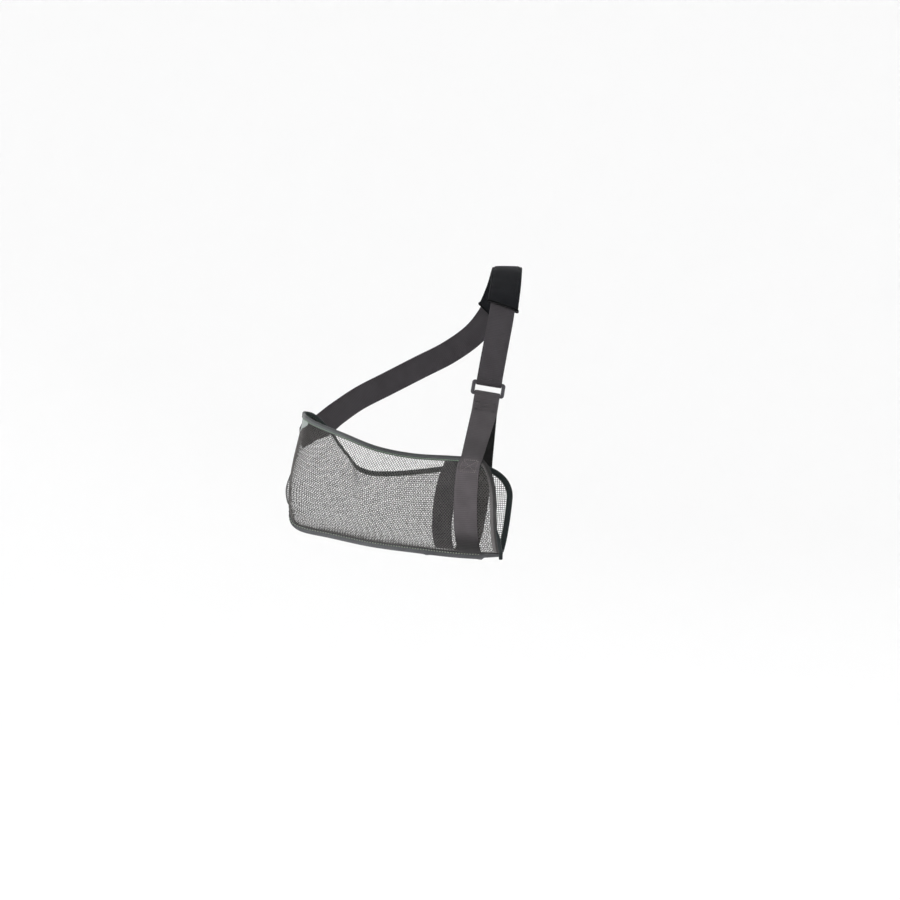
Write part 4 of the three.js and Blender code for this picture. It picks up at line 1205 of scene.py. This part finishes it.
outer_path = ring_path(RING_WIDTH, RING_HEIGHT, RING_CORNER)
inner_path = ring_path(RING_WIDTH - 2 * RING_POST, RING_HEIGHT - 2 * RING_BAR, 0.9)
x, z = (v[:, None] for v in rounded(np.linspace(0, 2 * math.pi, 20, endpoint=False), 0.55, 0.55))
flat = ((outer_path + inner_path) / 2)[:, None] + ((outer_path - inner_path) / 2)[:, None] * x
ring_points = RING_CENTRE + BAR * flat[..., :1] + PULL * flat[..., 1:] + OUT * z * RING_THICKNESS / 2
count, around = flat.shape[:2]
faces = [[v % (count * around) for v in quad] for quad in turned_quads(count + 1, around)]
piece("ring", ring_points, faces, PLASTIC, ("ring_buckle",), None)

# ---- stitching


def line_stitches(name, path, normals, spacing, length, radius, material):
    """Stitches along a line of points, standing out along its normals."""
    places, along, shares = along_path(path, spacing)
    out = unit(read_between(shares, np.linspace(0, 1, len(normals)), normals))
    out = unit(out - along * np.sum(out * along, axis=1, keepdims=True))
    return stitches(name, places, along, out, length, radius, material)


TAPE_FACE = TAPE_THICKNESS / 2 - 0.15
for name, panel, edges, share, lift, length, radius, thread, slot in (
    ("top_tape_stitches", front, top_lines, 0.84, TAPE_FACE, 3.0, 0.62, GREEN_THREAD, "tape"),
    ("hand_tape_stitches", front, hand_lines, 0.82, TAPE_FACE, 2.6, 0.45, GREY_THREAD, "light_tape"),
    ("back_tape_stitches", back, back_lines, 0.84, TAPE_FACE, 2.6, 0.45, DARK_GREEN_THREAD, "tape"),
    ("back_tape_inner_stitches", back, back_lines, 0.84, -TAPE_FACE, 2.6, 0.45, DARK_GREEN_THREAD, "tape"),
):
    place = (edges[0] + (edges[1] - edges[0]) * share).T
    normals = panel.normal(*place)
    line_stitches(name, panel.at(*place) + normals * lift, normals, 3.6, length, radius, thread)

# Along the top of the lower tape, on the side that is seen
low_path = (seam_points + seam_out * 2.3)[(seam_shares > 0.02) & (seam_shares < DOG_EAR)]
low_path = low_path - ASIDE * SEAM_TAPE_THICKNESS * 0.45
low_normals = np.broadcast_to(-ASIDE, low_path.shape)
line_stitches("bottom_tape_stitches", low_path, low_normals, 4.6, 2.8, 0.75, PALE_THREAD)


def strap_stitches(name, grid, lines, material, radius=0.4, spacing=3.2, length=2.4):
    """Stitches on a strap's rows of points. Each line runs between two places, given as a distance
    along the strap and a place from -1 to 1 across it."""
    lift = WEBBING_THICKNESS / 2 - 0.02
    run = run_along(grid[:, grid.shape[1] // 2])
    normals = grid_normals(grid)
    shares = np.linspace(0, 1, 60)
    rows_of_stitches = []
    for start, stop in lines:
        along, across = (a + (b - a) * shares for a, b in zip(start, stop))
        rows = np.interp(along, run, np.arange(len(run)))
        columns = np.interp(across, np.linspace(-1, 1, grid.shape[1]), np.arange(grid.shape[1]))
        path = read_grid(grid, rows, columns)
        face = normals[
            rows.astype(int).clip(0, len(run) - 2), columns.astype(int).clip(0, grid.shape[1] - 2)
        ]
        places, direction, at = along_path(path - face * lift, spacing)
        rows_of_stitches.append((places, direction, -unit(read_between(at, shares, face))))
    places, direction, out = (np.concatenate(parts) for parts in zip(*rows_of_stitches))
    return stitches(name, places, direction, out, length, radius, material)


def box_lines(start, stop, edge, rounds=()):
    """A box with a cross in it, and more rows across at given places."""
    a, b, c, d = (start, -edge), (stop, -edge), (stop, edge), (start, edge)
    return [(a, b), (b, c), (c, d), (d, a), (a, c), (d, b)] + [((at, -edge), (at, edge)) for at in rounds]


strap_total = run_along(strap_rows[:, 4])[-1]
sewn_box = box_lines(edge_at - 24, edge_at - 6, 0.66)
leg_rows = box_lines(ring_at - LOOP_LENGTH - STITCHED_LENGTH + 1, ring_at - LOOP_LENGTH, 0.8, (ring_at - 20,))
tail_rows = [((at, -0.85), (at, 0.85)) for at in (tail_run + 27, tail_run + 31)]
end_box = box_lines(strap_total - 42, strap_total - 6, 0.78)
strap_stitches("sewn_box_stitches", split_grid, sewn_box, GREY_THREAD, radius=0.5)
strap_stitches("leg_stitches", split_grid, leg_rows, DARK_THREAD, radius=0.5)
strap_stitches("tail_stitches", strap_rows, tail_rows, DARK_THREAD)
strap_stitches("strap_end_stitches", strap_rows, end_box, GREY_THREAD)

# ---- camera, light and stage

scene = bpy.context.scene
camera = bpy.data.objects.new("camera", bpy.data.cameras.new("camera"))
scene.collection.objects.link(camera)
camera.location = (-0.0893, -2.79, -0.2774)
camera.rotation_euler = (math.pi / 2, 0, 0)
camera.data.lens = 71.2
camera.data.sensor_width = 36
camera.data.clip_end = 60
scene.camera = camera


def cyclorama(level=-1.25, flat=2.6, rise=1.8, top=4.6, around=96):
    """A pale floor that rises all round into a pale wall."""
    bend = np.linspace(0, math.pi / 2, 13)[1:]
    radii = [flat, *(flat + rise * np.sin(bend)), flat + rise]
    heights = [level, *(level + rise * (1 - np.cos(bend))), top]
    angles = 2 * math.pi * np.arange(around) / around
    points = [(0, 0, level)]
    for radius, height in zip(radii, heights):
        points += [(radius * math.cos(angle), radius * math.sin(angle), height) for angle in angles]
    faces = [(0, 1 + k, 1 + (k + 1) % around) for k in range(around)]
    faces += [[1 + v for v in quad] for quad in turned_quads(len(radii), around)]
    mesh = bpy.data.meshes.new("floor")
    mesh.from_pydata(points, [], faces)
    mesh.polygons.foreach_set("use_smooth", [True] * len(mesh.polygons))
    floor = bpy.data.objects.new("floor", mesh)
    scene.collection.objects.link(floor)
    material, tree, shader = new_material("pale_floor", (0.93, 0.93, 0.93), 0.9, specular=0.1)
    shader.inputs["Emission Color"].default_value = (1, 1, 1, 1)
    shader.inputs["Emission Strength"].default_value = 0.02
    mesh.materials.append(material)


cyclorama()


def area_light(name, place, aim, size, power):
    light = bpy.data.objects.new(name, bpy.data.lights.new(name, "AREA"))
    light.data.size = size
    light.data.energy = power
    light.location = place
    light.rotation_euler = (Vector(aim) - Vector(place)).to_track_quat("-Z", "Y").to_euler()
    scene.collection.objects.link(light)


MIDDLE = (-0.16, -0.05, -0.2)
for name, place, size, power in (
    ("key", (-1.6, -2.2, 1.5), 1.6, 34),
    ("fill", (1.9, -1.9, 0.6), 1.8, 12),
    ("rim", (0.6, 2.2, 1.6), 1.8, 16),
):
    area_light(name, place, MIDDLE, size, power)
world = bpy.data.worlds.new("world")
world.use_nodes = True
world.node_tree.nodes["Background"].inputs[0].default_value = (1, 1, 1, 1)
world.node_tree.nodes["Background"].inputs[1].default_value = 1.0
scene.world = world
scene.view_settings.view_transform = "Standard"
